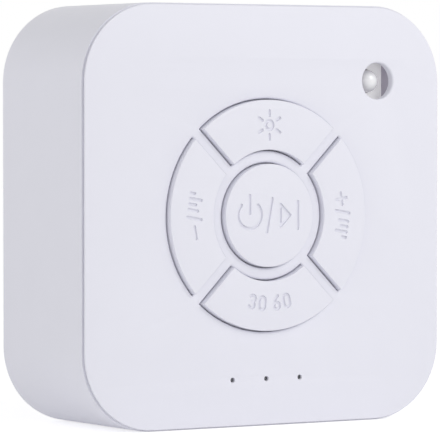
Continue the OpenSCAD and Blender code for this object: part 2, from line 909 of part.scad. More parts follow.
// Upright capacitors with a shallow groove round the foot
can_r = 2.5;
can_h = 5.4;
can_side = 9;
can_pitch = 6.5;

module capacitors() {
  can_x = board_half - can_side;
  color("slategray") for (at = [[can_x, can_r], [can_x, can_r + can_pitch], [-can_x, -can_pitch]])
    inwards(at.x, at.y, board_back) difference() {
      cylinder(h = can_h, r = can_r);
      translate([0, 0, 1]) rotate_extrude() translate([can_r, 0]) circle(0.25);
    }
}

// Two rows and a column of small resistors
row_pitch = 3;
row_side = board_half - 15;
row_drop = 8;
column_pitch = 2.4;
column_side = board_half - 19;

module chip_resistors() {
  size = [1.6, 0.5, 0.8];
  color("#2a2a2e") {
    for (i = [0:5]) block(i * row_pitch - row_side, board_half - row_drop, board_back, size);
    for (i = [0:4]) block((i - 4) * row_pitch, -10, board_back, size);
    for (i = [0:3]) block(column_side, (i - 1) * column_pitch, board_back, size);
  }
}

// Flat can with round ends
crystal_l = 8;
crystal_w = 3.4;
crystal_h = 2.5;
crystal_side = 13;
crystal_drop = 15;

module crystal() {
  color("silver") slab(board_back, crystal_h)
    translate([board_half - crystal_side, board_half - crystal_drop]) port_outline(crystal_l, crystal_w);
}

// Open shells on the board, and the plugs that sit in them
module lead_sockets() {
  color("ivory") for (at = sockets) difference() {
    block(at.x, at.y, board_back, [socket_w, socket_l, socket_h]);
    block(at.x, at.y, board_back + socket_wall,
      [socket_w - 2 * socket_wall, socket_l, socket_h - 2 * socket_wall]);
  }
}

module lead_plugs() {
  inner = 2 * (socket_wall + plug_gap);
  color("white") for (at = sockets)
    block(at.x, at.y, board_back + socket_wall,
      [socket_w - inner, socket_l - socket_wall + plug_out, socket_h - inner]);
}

// ---------- Loudspeaker ----------

// The loudspeaker's axis: z is depth
module speaker_axis() {
  inwards(0, speaker_z, 0) children();
}

// Pressed bowl with four windows, a flange and a ledge for the spider
module speaker_basket() {
  color("dimgray") speaker_axis() {
    ring(rim_d - basket_t, basket_t, speaker_r, bowl_r - bowl_wall);
    difference() {
      rotate_extrude() polygon([
        [bowl_low_r - bowl_wall, plate_d], [bowl_low_r, plate_d],
        [bowl_r, rim_d - basket_t], [bowl_r - bowl_wall, rim_d - basket_t]
      ]);
      for (turn = [0:90:270]) rotate(turn) translate([bowl_low_r - 3, -5, floor_d + ledge_t + 0.4])
        cube([10, 10, basket_h - ledge_t - basket_t - 1.4]);
    }
    ring(plate_d, basket_t, bowl_low_r, plate_hole_r + 1);
    ring(floor_d, ledge_t, bowl_low_r, bowl_low_r - ledge_w);
  }
}

module speaker_top_plate() {
  color("silver") speaker_axis() ring(magnet_d, top_plate_t, magnet_r - 0.5, plate_hole_r);
}

module speaker_magnet() {
  color("#3a3a3d") speaker_axis() ring(yoke_d, magnet_t, magnet_r, plate_hole_r + 1.6);
}

// Back plate and pole in one piece
module speaker_yoke() {
  color("silver") speaker_axis() {
    translate([0, 0, yoke_d - yoke_t]) cylinder(h = yoke_t, r = magnet_r - 0.5);
    translate([0, 0, yoke_d - yoke_t / 2]) cylinder(h = plate_d - yoke_d + yoke_t / 2, r = pole_r);
  }
}

module voice_coil_former() {
  low = magnet_d - 1;
  color("tan") speaker_axis() ring(low, neck_d + 1 - low, coil_r, coil_r - former_t);
}

module voice_coil() {
  color("chocolate") speaker_axis()
    ring(magnet_d + (top_plate_t - winding_l) / 2, winding_l, coil_r + winding_t, coil_r + 0.02);
}

// Depth of the cone's back surface at a radius
function cone_d(r) = neck_d + cone_t + cone_rise * (r - coil_r) / (cone_r - coil_r);

module speaker_cone() {
  inner = coil_r + thread_gap;
  color("#26262a") speaker_axis() rotate_extrude() polygon([
    [inner, neck_d], [cone_r, rim_d - cone_t], [cone_r, rim_d], [inner, neck_d + cone_t]
  ]);
}

// Shallow dome glued over the coil
module dust_cap() {
  foot = cone_d(cap_r) + 0.05;
  sphere_r = (cap_r * cap_r + cap_h * cap_h) / (2 * cap_h);
  color("#1c1c1f") speaker_axis() translate([0, 0, foot]) intersection() {
    translate([0, 0, cap_h - sphere_r]) difference() {
      sphere(sphere_r);
      sphere(sphere_r - cap_t);
    }
    cylinder(h = cap_h + cut, r = cap_r + cut);
  }
}

// Thin rubber ring with a half roll between the cone and the flange
module speaker_surround() {
  inner_flat = 0.8;
  color("#34343a") speaker_axis() rotate_extrude() {
    translate([cone_r - inner_flat, rim_d]) square([inner_flat + 0.4, film_t]);
    translate([roll_c + roll_r - film_t, rim_d])
      square([speaker_r - 0.4 - roll_c - roll_r + film_t, film_t]);
    translate([roll_c, rim_d]) intersection() {
      difference() {
        circle(roll_r);
        circle(roll_r - film_t);
      }
      translate([-roll_r, 0]) square([2 * roll_r, roll_r]);
    }
  }
}

// Corrugated cloth disc: its waves are steps up and down between flat rings
module speaker_spider() {
  inner = coil_r + thread_gap;
  outer = bowl_low_r - bowl_wall - 0.2;
  waves = 3;
  pitch = (outer - inner - ledge_w) / (2 * waves);
  color("goldenrod") speaker_axis() rotate_extrude() {
    translate([inner, spider_d]) square([outer - inner, spider_t]);
    for (i = [0:waves - 1])
      translate([inner + (2 * i + 1) * pitch, spider_d]) square([pitch * 0.6, 2 * spider_t]);
  }
}

// Insulating strip under the flange with two solder tags
module speaker_tag_strip() {
  color("sienna") block(0, tag_z, tag_d, [10, tag_t, 3]);
}

module speaker_gasket() {
  color("#2c2c30") speaker_axis() ring(rim_d + film_t, gasket_t, speaker_r - 0.3, bowl_r + 0.6);
}

module speaker_screws() {
  color("silver") for (x = [-1, 1], z = [-1, 1])
    inwards(x * speaker_boss_xz, speaker_z + z * speaker_boss_xz, rim_d - basket_t)
      screw(board_screw_r, basket_t + speaker_grip, speaker_head_r, speaker_head_t);
}

module grille_cloth() {
  color("#1a1a1c") speaker_axis()
    translate([0, 0, back_in - cloth_t]) cylinder(h = cloth_t, r = bowl_r + 0.3);
}

// ---------- Battery and charging board ----------

// Flat pouch with rounded long edges
module battery_cell() {
  r = cell_round;
  low = cell_seat - cell_t;
  color("silver") translate([cell_x - cell_l / 2, face_y + low, mid_z + cell_z - cell_h / 2])
    rotate([90, 0, 90]) linear_extrude(cell_l) {
      translate([r, 0]) square([cell_t - 2 * r, cell_h]);
      translate([0, r]) square([cell_t, cell_h - 2 * r]);
      for (y = [r, cell_t - r], z = [r, cell_h - r]) translate([y, z]) circle(r);
    }
}

module battery_guard_board() {
  color("darkgreen") block(cell_end + guard_t / 2, cell_z, cell_seat - (cell_t + guard_h) / 2,
    [guard_t, guard_h, cell_h - 4]);
}

module battery_pad() {
  color("#4a4a50") block(cell_x, cell_z, cell_seat, [cell_l - 8, pad_t, cell_h - 7]);
}

module charge_board() {
  color("seagreen") difference() {
    translate([port_x - charge_w / 2, face_y + charge_front, mid_z + charge_under])
      cube([charge_w, charge_l, charge_t]);
    for (x = [-charge_screw_x, charge_screw_x])
      translate([port_x + x, face_y + charge_screw_d, mid_z + charge_under - cut])
        cylinder(h = charge_t + 2 * cut, r = board_screw_r + hole_gap);
  }
}

// Charging chip and its coil on top of the charging board
module charge_parts() {
  color("#303034") {
    translate([port_x - 2.6, face_y + charge_front + 3.4, mid_z + charge_top]) cube([2.4, 2.4, 0.9]);
    translate([port_x + 0.4, face_y + charge_front + 3.2, mid_z + charge_top]) cube([2.6, 2.6, 1.8]);
  }
}

// Folded metal shell with a tongue inside
module charge_socket() {
  shell = 0.35;
  start = body_d - port_sunk - 0.4 - port_l;
  color("lightgray") translate([port_x, 0, port_z]) {
    difference() {
      slab(start, port_l) port_outline(port_w, port_h);
      slab(start + 0.8, port_l) port_outline(port_w - 2 * shell, port_h - 2 * shell);
    }
    slab(start, port_l - 1) square([port_w - 3, 0.7], center = true);
  }
}

module charge_screws() {
  color("silver") for (x = [-charge_screw_x, charge_screw_x])
    translate([port_x + x, face_y + charge_screw_d, mid_z + charge_top]) mirror([0, 0, 1])
      screw(board_screw_r, charge_t + charge_grip, board_head_r, board_head_t);
}

// ---------- Leads ----------

// Points of each lead as x, depth and height on the face, from its plug to where it is soldered.
// The first and the last stretch of a lead stand square on the faces that it meets.
function plug_end(at, side, out) = [at.x, plug_back + out, at.y + side * lead_pitch / 2];
function battery_route(side) = [
  plug_end(battery_socket, side, 0),
  plug_end(battery_socket, side, 3),
  [20, 24, -24 + 2 * side],
  [cell_end + guard_t + 4, battery_lead_d, cell_z + 2 + 3 * side],
  [cell_end + guard_t, battery_lead_d, cell_z + 2 + 3 * side]
];
function charge_route(side) = [
  plug_end(charge_lead_socket, side, 0),
  plug_end(charge_lead_socket, side, 1.3 - 0.3 * side),
  [20 + 2 * side, 18.8 - 0.3 * side, -34.2 + 1.1 * side],
  [port_x - 2 + 2 * side, charge_front - 1.2, charge_top - charge_t / 2],
  [port_x - 2 + 2 * side, charge_front, charge_top - charge_t / 2]
];
function speaker_route(side) = [
  plug_end(speaker_socket, side, 0),
  plug_end(speaker_socket, side, 3),
  [-14, cell_seat - cell_t - 2, -16 + 2 * side],
  [-3 * side, tag_d - 3.5, tag_z],
  [-3 * side, tag_d, tag_z]
];

// A point on the smooth curve through a route, and the direction of the curve there
function at_end(p, i) = p[min(max(i, 0), len(p) - 1)];
function bend(a, b, c, d, t) =
  0.5 * (2 * b + (c - a) * t + (2 * a - 5 * b + 4 * c - d) * t * t + (3 * b - a - 3 * c + d) * t * t * t);
function curve(p) = [
  for (i = [0:len(p) - 2], k = [0:lead_steps - 1])
    bend(at_end(p, i - 1), p[i], p[i + 1], at_end(p, i + 2), k / lead_steps),
  p[len(p) - 1]
];
function heading(p, i, route) =
  let (
    n = len(p) - 1,
    m = len(route) - 1,
    run = i == 0 ? route[1] - route[0] : i == n ? route[m] - route[m - 1] : p[i + 1] - p[i - 1]
  ) run / norm(run);

// Tube along a route: a ring of points round each point of the curve
module lead(route) {
  p = curve(route);
  n = lead_sides;
  rings = [
    for (i = [0:len(p) - 1])
      let (
        along = heading(p, i, route),
        raw = cross(along, [0.36, 0.48, 0.8]),
        u = raw / norm(raw),
        v = cross(along, u)
      )
      for (k = [0:n - 1]) p[i] + lead_r * (cos(360 * k / n) * u + sin(360 * k / n) * v)
  ];
  last = (len(p) - 1) * n;
  sides = [for (i = [0:len(p) - 2], k = [0:n - 1])
    [i * n + k, (i + 1) * n + k, (i + 1) * n + (k + 1) % n, i * n + (k + 1) % n]];
  ends = [[for (k = [0:n - 1]) k], [for (k = [n - 1:-1:0]) last + k]];
  translate([0, face_y, mid_z]) polyhedron(rings, concat(sides, ends));
}

module leads(side) {
  lead(battery_route(side));
  lead(charge_route(side));
  lead(speaker_route(side));
}

module red_leads() { color("crimson") leads(1); }
module black_leads() { color("#202022") leads(-1); }

front_panel();
rear_housing();
housing_screws();
power_key();
light_key();
minus_key();
plus_key();
timer_key();
power_switch_case();
light_switch_case();
minus_switch_case();
plus_switch_case();
timer_switch_case();
power_switch_plunger();
light_switch_plunger();
minus_switch_plunger();
plus_switch_plunger();
timer_switch_plunger();
switch_legs();
main_board();
board_screws();
lamp_cup();
lamp_led();
lamp_led_legs();
indicator_leds();
light_guide();
sound_chip();
memory_chip();
amplifier_chip();
chip_legs();
capacitors();
chip_resistors();
crystal();
lead_sockets();
lead_plugs();
speaker_basket();
speaker_top_plate();
speaker_magnet();
speaker_yoke();
voice_coil_former();
voice_coil();
speaker_cone();
dust_cap();
speaker_surround();
speaker_spider();
speaker_tag_strip();
speaker_gasket();
speaker_screws();
grille_cloth();
battery_cell();
battery_guard_board();
battery_pad();
charge_board();
charge_parts();
charge_socket();
charge_screws();
red_leads();
black_leads();
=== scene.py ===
import json
import math

import bmesh
import bpy
import numpy as np
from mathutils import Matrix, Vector
from mathutils.geometry import tessellate_polygon

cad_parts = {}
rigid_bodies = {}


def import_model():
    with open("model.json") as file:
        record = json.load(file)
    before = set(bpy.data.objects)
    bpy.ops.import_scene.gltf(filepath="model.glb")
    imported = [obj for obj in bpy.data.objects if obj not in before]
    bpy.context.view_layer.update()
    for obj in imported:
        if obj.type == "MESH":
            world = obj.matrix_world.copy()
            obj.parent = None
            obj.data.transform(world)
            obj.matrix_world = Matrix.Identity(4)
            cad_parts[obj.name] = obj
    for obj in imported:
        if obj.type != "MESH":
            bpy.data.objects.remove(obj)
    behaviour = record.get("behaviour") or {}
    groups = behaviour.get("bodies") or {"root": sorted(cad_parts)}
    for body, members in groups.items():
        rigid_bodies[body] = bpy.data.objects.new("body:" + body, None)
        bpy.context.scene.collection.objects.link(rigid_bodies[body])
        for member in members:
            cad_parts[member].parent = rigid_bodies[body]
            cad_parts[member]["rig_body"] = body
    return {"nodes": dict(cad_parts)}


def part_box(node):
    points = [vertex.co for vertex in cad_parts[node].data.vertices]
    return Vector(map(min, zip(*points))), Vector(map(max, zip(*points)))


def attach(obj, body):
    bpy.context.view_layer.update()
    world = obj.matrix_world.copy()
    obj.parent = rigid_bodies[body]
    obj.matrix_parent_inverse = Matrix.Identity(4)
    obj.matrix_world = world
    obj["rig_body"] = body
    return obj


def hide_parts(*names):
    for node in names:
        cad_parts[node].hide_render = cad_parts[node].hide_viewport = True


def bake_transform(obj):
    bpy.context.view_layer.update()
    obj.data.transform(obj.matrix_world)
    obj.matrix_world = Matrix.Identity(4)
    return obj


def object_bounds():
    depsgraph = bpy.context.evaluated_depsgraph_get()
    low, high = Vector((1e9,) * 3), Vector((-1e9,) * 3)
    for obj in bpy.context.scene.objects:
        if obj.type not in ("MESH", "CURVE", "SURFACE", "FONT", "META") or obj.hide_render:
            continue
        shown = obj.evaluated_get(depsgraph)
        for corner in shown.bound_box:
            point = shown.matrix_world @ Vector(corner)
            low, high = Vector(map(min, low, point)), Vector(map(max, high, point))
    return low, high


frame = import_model()
cad_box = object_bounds()

# ---------- Camera ----------
# A long lens, a little to the left of the unit and just above its middle, looking slightly
# down at the front panel.
mm = 0.001
face_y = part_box("front_panel")[0].y
body_w = cad_box[1].z - cad_box[0].z
mid_z = body_w / 2
eye = Vector((-0.428, face_y - 0.665, mid_z + 0.024))
look_down = 0.0308
look_right = math.radians(32.029)
lens_length = 296.6
film_width = 36
far_limit = 10

camera = bpy.data.objects.new("camera", bpy.data.cameras.new("camera"))
camera.data.lens = lens_length
camera.data.sensor_width = film_width
camera.data.clip_end = far_limit
camera.location = eye
camera.rotation_euler = (math.pi / 2 - look_down, 0, -look_right)
bpy.context.scene.collection.objects.link(camera)
bpy.context.scene.camera = camera
bpy.context.scene.view_settings.view_transform = "Standard"

# ---------- Rear housing ----------
# A deep square tub, injection moulded in pale white ABS with a fine satin texture. Its back has
# rings of sound holes, four screw wells and the charging slot.
shell_white = (0.812, 0.811, 0.884, 1)
skin_outputs = (("Color", "Color"), ("Roughness", "Float"), ("Normal", "Vector"))


def put(tree, kind, inputs, **properties):
    """Adds a shader node; its inputs, by name or number, take plain values or other nodes' outputs."""
    made = tree.nodes.new("ShaderNode" + kind)
    for name, value in properties.items():
        setattr(made, name, value)
    for name, value in inputs.items():
        if isinstance(value, bpy.types.NodeSocket):
            tree.links.new(value, made.inputs[name])
        else:
            made.inputs[name].default_value = value
    return made


def start_group(name, inputs, outputs=skin_outputs):
    """A shader node group with named sockets, and the nodes at its two ends."""
    tree = bpy.data.node_groups.new(name, "ShaderNodeTree")
    for label, kind, value in inputs:
        socket = tree.interface.new_socket(label, in_out="INPUT", socket_type="NodeSocket" + kind)
        socket.default_value = value
    for label, kind in outputs:
        tree.interface.new_socket(label, in_out="OUTPUT", socket_type="NodeSocket" + kind)
    return tree, tree.nodes.new("NodeGroupInput").outputs, tree.nodes.new("NodeGroupOutput").inputs


def shade(tree, colour, amount, mask):
    """The colour made darker by the amount where the mask is 1: colour x (1 - amount x mask)."""
    dark = put(tree, "Math", {0: amount, 1: mask}, operation="MULTIPLY").outputs[0]
    light = put(tree, "Math", {0: 1.0, 1: dark}, operation="SUBTRACT").outputs[0]
    return put(tree, "VectorMath", {0: colour, "Scale": light}, operation="SCALE").outputs[0]


def moulded_skin():
    """The skin that a textured mould leaves: cloudy colour and gloss a few millimetres wide, and
    the fine pits of the spark-eroded steel."""
    tree, given, result = start_group("moulded_skin", [
        ("Color", "Color", shell_white), ("Cloud", "Float", 0.02), ("Roughness", "Float", 0.45),
        ("Grain", "Float", 3000), ("Depth", "Float", 0.01 * mm)])
    place = put(tree, "TexCoord", {}).outputs["Object"]
    cloud = put(tree, "TexNoise", {"Vector": place, "Scale": 90, "Detail": 3}).outputs["Fac"]
    tree.links.new(shade(tree, given["Color"], given["Cloud"], cloud), result["Color"])
    spread = put(tree, "MapRange", {"Value": cloud, "To Min": -0.06, "To Max": 0.06}).outputs[0]
    rough = put(tree, "Math", {0: given["Roughness"], 1: spread}, operation="ADD").outputs[0]
    tree.links.new(rough, result["Roughness"])
    pits = put(tree, "TexNoise", {"Vector": place, "Scale": given["Grain"], "Detail": 2}).outputs["Fac"]
    bump = put(tree, "Bump", {"Height": pits, "Distance": given["Depth"], "Strength": 0.5})
    tree.links.new(bump.outputs[0], result["Normal"])
    return tree


def new_finish(name, group, group_values, **shader_values):
    """A material with one Principled shader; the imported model's plain one of that name is made
    over. Values that are the same all over are set on the shader; the group's outputs feed the
    shader's sockets of the same names."""
    material = bpy.data.materials.get(name) or bpy.data.materials.new(name)
    material.use_nodes = True
    tree = material.node_tree
    tree.nodes.clear()
    shader = tree.nodes.new("ShaderNodeBsdfPrincipled")
    put(tree, "OutputMaterial", {"Surface": shader.outputs[0]})
    for label, value in shader_values.items():
        shader.inputs[label.replace("_", " ")].default_value = value
    made = tree.nodes.new("ShaderNodeGroup")
    made.node_tree = group
    for label, value in group_values.items():
        made.inputs[label].default_value = value
    for out in made.outputs:
        tree.links.new(out, shader.inputs["Base Color" if out.name == "Color" else out.name])
    return material


def dress(node, material):
    """Gives a carried-over piece its material."""
    piece = frame["nodes"][node]
    for held in piece.material_slots:
        held.material = material
    if not piece.material_slots:
        piece.data.materials.append(material)


skin = moulded_skin()


def moulded(name, colour, rough, cloud=0.03, grain=3000, pit=0.01 * mm, **shader_values):
    """A moulded plastic or other cast finish on the shared skin."""
    values = {"Color": (*colour[:3], 1), "Cloud": cloud, "Roughness": rough, "Grain": grain,
              "Depth": pit}
    return new_finish(name, skin, values, **shader_values)


shell_plastic = moulded("shell_plastic", shell_white, 0.42, cloud=0.02, grain=3500, pit=0.008 * mm)
dress("rear_housing", shell_plastic)

# ---------- Loudspeaker grille cloth ----------
# A disc of thin black polyester voile, glued to the inside of the back so that it shows in the
# sound holes and keeps dust off the cone.
cloth_edge = 0.1 * mm
thread_pitch = 0.35 * mm
round_sides = 96


def woven():
    """Plain weave: two sets of threads, each a wave along its own axis, that pass over and under
    each other by turns. Height = |sin(pi x / pitch) sin(pi z / pitch)|."""
    tree, given, result = start_group("woven", [
        ("Color", "Color", (0.03, 0.03, 0.03, 1)), ("Pitch", "Float", thread_pitch),
        ("Shade", "Float", 0.5), ("Depth", "Float", 0.05 * mm)],
        outputs=(("Color", "Color"), ("Normal", "Vector")))
    place = put(tree, "TexCoord", {}).outputs["Object"]
    apart = put(tree, "SeparateXYZ", {0: place}).outputs
    turn = put(tree, "Math", {0: math.pi, 1: given["Pitch"]}, operation="DIVIDE").outputs[0]
    waves = []
    for axis in ("X", "Z"):
        angle = put(tree, "Math", {0: apart[axis], 1: turn}, operation="MULTIPLY").outputs[0]
        waves.append(put(tree, "Math", {0: angle}, operation="SINE").outputs[0])
    over = put(tree, "Math", {0: waves[0], 1: waves[1]}, operation="MULTIPLY").outputs[0]
    height = put(tree, "Math", {0: over}, operation="ABSOLUTE").outputs[0]
    low = put(tree, "Math", {0: 1.0, 1: height}, operation="SUBTRACT").outputs[0]
    # Painted shade: the colour is darkened by Shade where the weave is low, between the threads.
    tree.links.new(shade(tree, given["Color"], given["Shade"], low), result["Color"])
    bump = put(tree, "Bump", {"Height": height, "Distance": given["Depth"], "Strength": 0.8})
    tree.links.new(bump.outputs[0], result["Normal"])
    return tree


def circle(radius, at=(0, 0), sides=round_sides):
    """Points on a circle about a place on the face: at + radius (cos t, sin t)."""
    turn = np.linspace(0, 2 * np.pi, sides, endpoint=False)
    return np.array(at) + radius * np.stack([np.cos(turn), np.sin(turn)], axis=1)


def on_face(outline, depth):
    """Outline points (right, up) from the face's centre, put in space behind the panel's face."""
    right, up = outline.T
    return np.stack([right, face_y + depth + 0 * right, mid_z + up], axis=1)


def wall(*rings):
    """Quads between closed rings of equally many points, from each ring to the next."""
    count = len(rings[0])
    here = np.arange(count)
    beside = (here + 1) % count
    start = count * np.arange(len(rings) - 1)[:, None]
    quads = np.stack([start + here, start + beside, start + count + beside, start + count + here],
                     axis=-1)
    return np.concatenate(rings), quads.reshape(-1, 4), True


def new_piece(node, surfaces, material, crease=35, bend=None):
    """One closed mesh made of surfaces that meet edge to edge: their points are merged and their
    faces turned outwards. It stands for the CAD node, which is hidden, and rides on its body; given a
    bend, it is only fixed in place and rides on no body."""
    points, faces, smooth = [], [], []
    count = 0
    for part_points, part_faces, is_smooth in surfaces:
        points.append(part_points)
        faces += (part_faces + count).tolist()
        smooth += [is_smooth] * len(part_faces)
        count += len(part_points)
    mesh = bpy.data.meshes.new(node + "_skin")
    mesh.from_pydata(np.concatenate(points), [], faces)
    mesh.polygons.foreach_set("use_smooth", smooth)
    work = bmesh.new()
    work.from_mesh(mesh)
    bmesh.ops.remove_doubles(work, verts=work.verts, dist=0.001 * mm)
    bmesh.ops.recalc_face_normals(work, faces=work.faces)
    work.to_mesh(mesh)
    work.free()
    mesh.set_sharp_from_angle(angle=math.radians(crease))
    mesh.materials.append(material)
    piece = bpy.data.objects.new(mesh.name, mesh)
    bpy.context.scene.collection.objects.link(piece)
    if bend:
        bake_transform(piece)
    else:
        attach(piece, frame["nodes"][node]["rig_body"])
    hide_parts(node)
    return piece


def round_size(node):
    """Centre on the face, radius, and depths of the front and back of a round CAD piece."""
    low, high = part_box(node)
    at = ((low.x + high.x) / 2, (low.z + high.z) / 2 - mid_z)
    return at, (high.x - low.x) / 2, low.y - face_y, high.y - face_y


def turned(profile, at, sides=round_sides):
    """A profile of (radius, depth) points carried round an axis that runs back from the face."""
    return wall(*[on_face(circle(radius, at, sides), depth) for radius, depth in profile])


def soft_profile(inner, outer, front, back, edge, steps=4):
    """Closed profile of a ring with rounded edges: quarter circles of radius edge at its corners,
    or bevels with one step. With no hole it starts and ends on the axis."""
    swing = np.linspace(0, np.pi / 2, steps + 1)
    corners = [(outer - edge, front + edge, -1), (outer - edge, back - edge, 0)]
    corners += [(inner + edge, back - edge, 1), (inner + edge, front + edge, 2)] if inner > 0 else []
    points = [(r + edge * math.cos(a + k * math.pi / 2), d + edge * math.sin(a + k * math.pi / 2))
              for r, d, k in corners for a in swing]
    return points + points[:1] if inner > 0 else [(0, front)] + points + [(0, back)]


cloth_weave = woven()
black_cloth = new_finish("black_cloth", cloth_weave, {"Color": (0.03, 0.03, 0.032, 1)},
                         Roughness=0.9, Sheen_Weight=0.3)
speaker_at, cloth_r, cloth_front, cloth_back = round_size("grille_cloth")
cloth = new_piece("grille_cloth",
                  [turned(soft_profile(0, cloth_r, cloth_front, cloth_back, cloth_edge), speaker_at)],
                  black_cloth)

# ---------- Loudspeaker ----------
# A 50 mm full-range driver. A pressed steel basket carries the magnet between two plated plates,
# and the paper cone hangs in it from a rubber half roll in front and a corrugated disc behind.


def drawn_metal():
    """Metal that was rolled or turned: fine streaks along one way, and a faint cloudy tarnish."""
    tree, given, result = start_group("drawn_metal", [
        ("Color", "Color", (0.6, 0.6, 0.6, 1)), ("Tarnish", "Float", 0.15), ("Roughness", "Float", 0.3),
        ("Streak", "Float", 4000), ("Depth", "Float", 0.004 * mm)])
    place = put(tree, "TexCoord", {}).outputs["Object"]
    long_way = put(tree, "Mapping", {"Vector": place, "Scale": (0.05, 1, 1)}).outputs[0]
    streak = put(tree, "TexNoise", {"Vector": long_way, "Scale": given["Streak"],
                                    "Detail": 2}).outputs["Fac"]
    cloud = put(tree, "TexNoise", {"Vector": place, "Scale": 250, "Detail": 4}).outputs["Fac"]
    tree.links.new(shade(tree, given["Color"], given["Tarnish"], cloud), result["Color"])
    spread = put(tree, "MapRange", {"Value": streak, "To Min": -0.08, "To Max": 0.12}).outputs[0]
    rough = put(tree, "Math", {0: given["Roughness"], 1: spread}, operation="ADD").outputs[0]
    tree.links.new(rough, result["Roughness"])
    bump = put(tree, "Bump", {"Height": streak, "Distance": given["Depth"], "Strength": 0.4})
    tree.links.new(bump.outputs[0], result["Normal"])
    return tree


metal_skin = drawn_metal()


def metal(name, colour, rough, tarnish=0.15, streak=4000, metallic=1.0, **shader_values):
    """A metal finish on the shared drawn-metal skin."""
    values = {"Color": (*colour, 1), "Tarnish": tarnish, "Roughness": rough, "Streak": streak}
    return new_finish(name, metal_skin, values, Metallic=metallic, **shader_values)


screw_steel = metal("screw_steel", (0.62, 0.62, 0.64), 0.28)
basket_steel = metal("basket_steel", (0.05, 0.05, 0.055), 0.35, metallic=0.0, Coat_Weight=0.4)
plate_steel = metal("plate_steel", (0.60, 0.60, 0.58), 0.3, tarnish=0.25)
magnet_ceramic = moulded("magnet_ceramic", (0.06, 0.06, 0.065), 0.6, cloud=0.3, grain=1200,
                         pit=0.05 * mm)
coil_former = moulded("coil_former", (0.42, 0.27, 0.12), 0.55, cloud=0.25, grain=900, pit=0.02 * mm)
coil_copper = metal("coil_copper", (0.72, 0.28, 0.12), 0.2, Coat_Weight=0.8)
surround_rubber = moulded("surround_rubber", (0.025, 0.025, 0.027), 0.55, cloud=0.3, grain=2000)
cone_paper = moulded("cone_paper", (0.035, 0.035, 0.04), 0.85, cloud=0.5, grain=700, pit=0.06 * mm)
spider_cloth = new_finish("spider_cloth", cloth_weave, {
    "Color": (0.42, 0.25, 0.07, 1), "Pitch": 0.5 * mm, "Shade": 0.6, "Depth": 0.06 * mm}, Roughness=0.7)
tag_board = moulded("tag_board", (0.20, 0.08, 0.035), 0.5, cloud=0.25, grain=1500)
foam = moulded("foam", (0.035, 0.035, 0.04), 0.95, cloud=0.4, grain=1800, pit=0.15 * mm)

dress("speaker_basket", basket_steel)
dress("speaker_top_plate", plate_steel)
dress("speaker_yoke", plate_steel)
dress("voice_coil_former", coil_former)
dress("speaker_tag_strip", tag_board)
dress("speaker_screws", screw_steel)

gasket_in = 22.2 * mm
gasket_edge = 0.25 * mm
_, gasket_r, gasket_front, gasket_back = round_size("speaker_gasket")
gasket = new_piece("speaker_gasket", [turned(
    soft_profile(gasket_in, gasket_r, gasket_front, gasket_back, gasket_edge), speaker_at)], foam)

magnet_hole = 9.2 * mm
magnet_edge = 0.5 * mm
_, magnet_r, magnet_front, magnet_back = round_size("speaker_magnet")
new_piece("speaker_magnet", [turned(
    soft_profile(magnet_hole, magnet_r, magnet_front, magnet_back, magnet_edge, steps=1), speaker_at)],
    magnet_ceramic)

# The coil: turns of enamelled wire side by side, each a small bulge of the outer surface. At a
# depth d from its start the radius is winding - wire / 2 (1 - |sin(pi d / wire)|).
wire_d = 0.2 * mm
coil_gap = 0.02 * mm
_, former_r, _, _ = round_size("voice_coil_former")
_, winding_r, winding_front, winding_back = round_size("voice_coil")
along = np.linspace(winding_front, winding_back, 129)
bulge = winding_r - wire_d / 2 * (1 - np.abs(np.sin(np.pi * (along - winding_front) / wire_d)))
coil_in = former_r + coil_gap
new_piece("voice_coil", [turned(
    [(coil_in, winding_front), *zip(bulge, along), (coil_in, winding_back), (coil_in, winding_front)],
    speaker_at)], coil_copper)


def sheet_profile(radius, depth, thickness):
    """Closed profile of a thin turned sheet: its middle line, moved half the thickness each way."""
    front = list(zip(radius, depth - thickness / 2))
    back = list(zip(radius, depth + thickness / 2))
    return front + back[::-1] + front[:1]


# The cone: straight in the main, with three pressed rings; its depth at s, from 0 at the neck to
# 1 at the rim, is neck + (rim - neck) s - rib height x sin(2 pi rings s) sin(pi s).
cone_t = 0.5 * mm
cone_rings = 3
cone_rib = 0.12 * mm
neck_gap = 0.03 * mm
neck_r = coil_in + neck_gap
_, cone_r, neck_d, rim_d = round_size("speaker_cone")
cone_s = np.linspace(0, 1, 61)
cone_radius = neck_r + (cone_r - neck_r) * cone_s
cone_depth = neck_d + cone_t / 2 + (rim_d - neck_d - cone_t) * cone_s
cone_depth -= cone_rib * np.sin(2 * np.pi * cone_rings * cone_s) * np.sin(np.pi * cone_s)
new_piece("speaker_cone", [turned(sheet_profile(cone_radius, cone_depth, cone_t), speaker_at)],
          cone_paper)

# The cap: a shallow dome, depth = top - height (r / radius)^2.
cap_t = 0.3 * mm
_, cap_r, cap_foot, cap_top = round_size("dust_cap")
cap_radius = np.linspace(cap_r, 0, 25)
cap_depth = cap_top - cap_t / 2 - (cap_top - cap_foot - cap_t) * (cap_radius / cap_r) ** 2
new_piece("dust_cap", [turned(sheet_profile(cap_radius, cap_depth, cap_t), speaker_at)], cone_paper)

slices = 8


def flexing_ring(node, radius, depth, thickness, fixed_r, moving_r, material):
    """A thin turned sheet in slices, each closed by its profile at both ends. For each slice a line is
    worked out along the radius through its middle, from the basket side at fixed_r to the cone at
    moving_r; seen along that radius its corners at fixed_r are only cos(half) as far out, so the line
    starts there. The line is passed as the bend, but the slices are only fixed in place and don't bend."""
    loop = np.array(sheet_profile(radius, depth, thickness)[:-1])
    end = np.array(tessellate_polygon([[Vector((r, d, 0)) for r, d in loop]]))
    half = np.pi / slices
    for middle in np.arange(slices) * 2 * half:
        turns = middle + np.linspace(-half, half, round_sides // slices + 1)
        rings = [on_face(loop[:, :1] * (np.cos(turn), np.sin(turn)) + speaker_at, loop[:, 1])
                 for turn in turns]
        out = np.array([[fixed_r * np.cos(half)], [moving_r]]) * (np.cos(middle), np.sin(middle))
        start, stop = on_face(out + speaker_at, 0)
        new_piece(node, [wall(*rings), (rings[0], end, False), (rings[-1], end, False)], material,
                  bend=("main", "cone_body", start, stop))


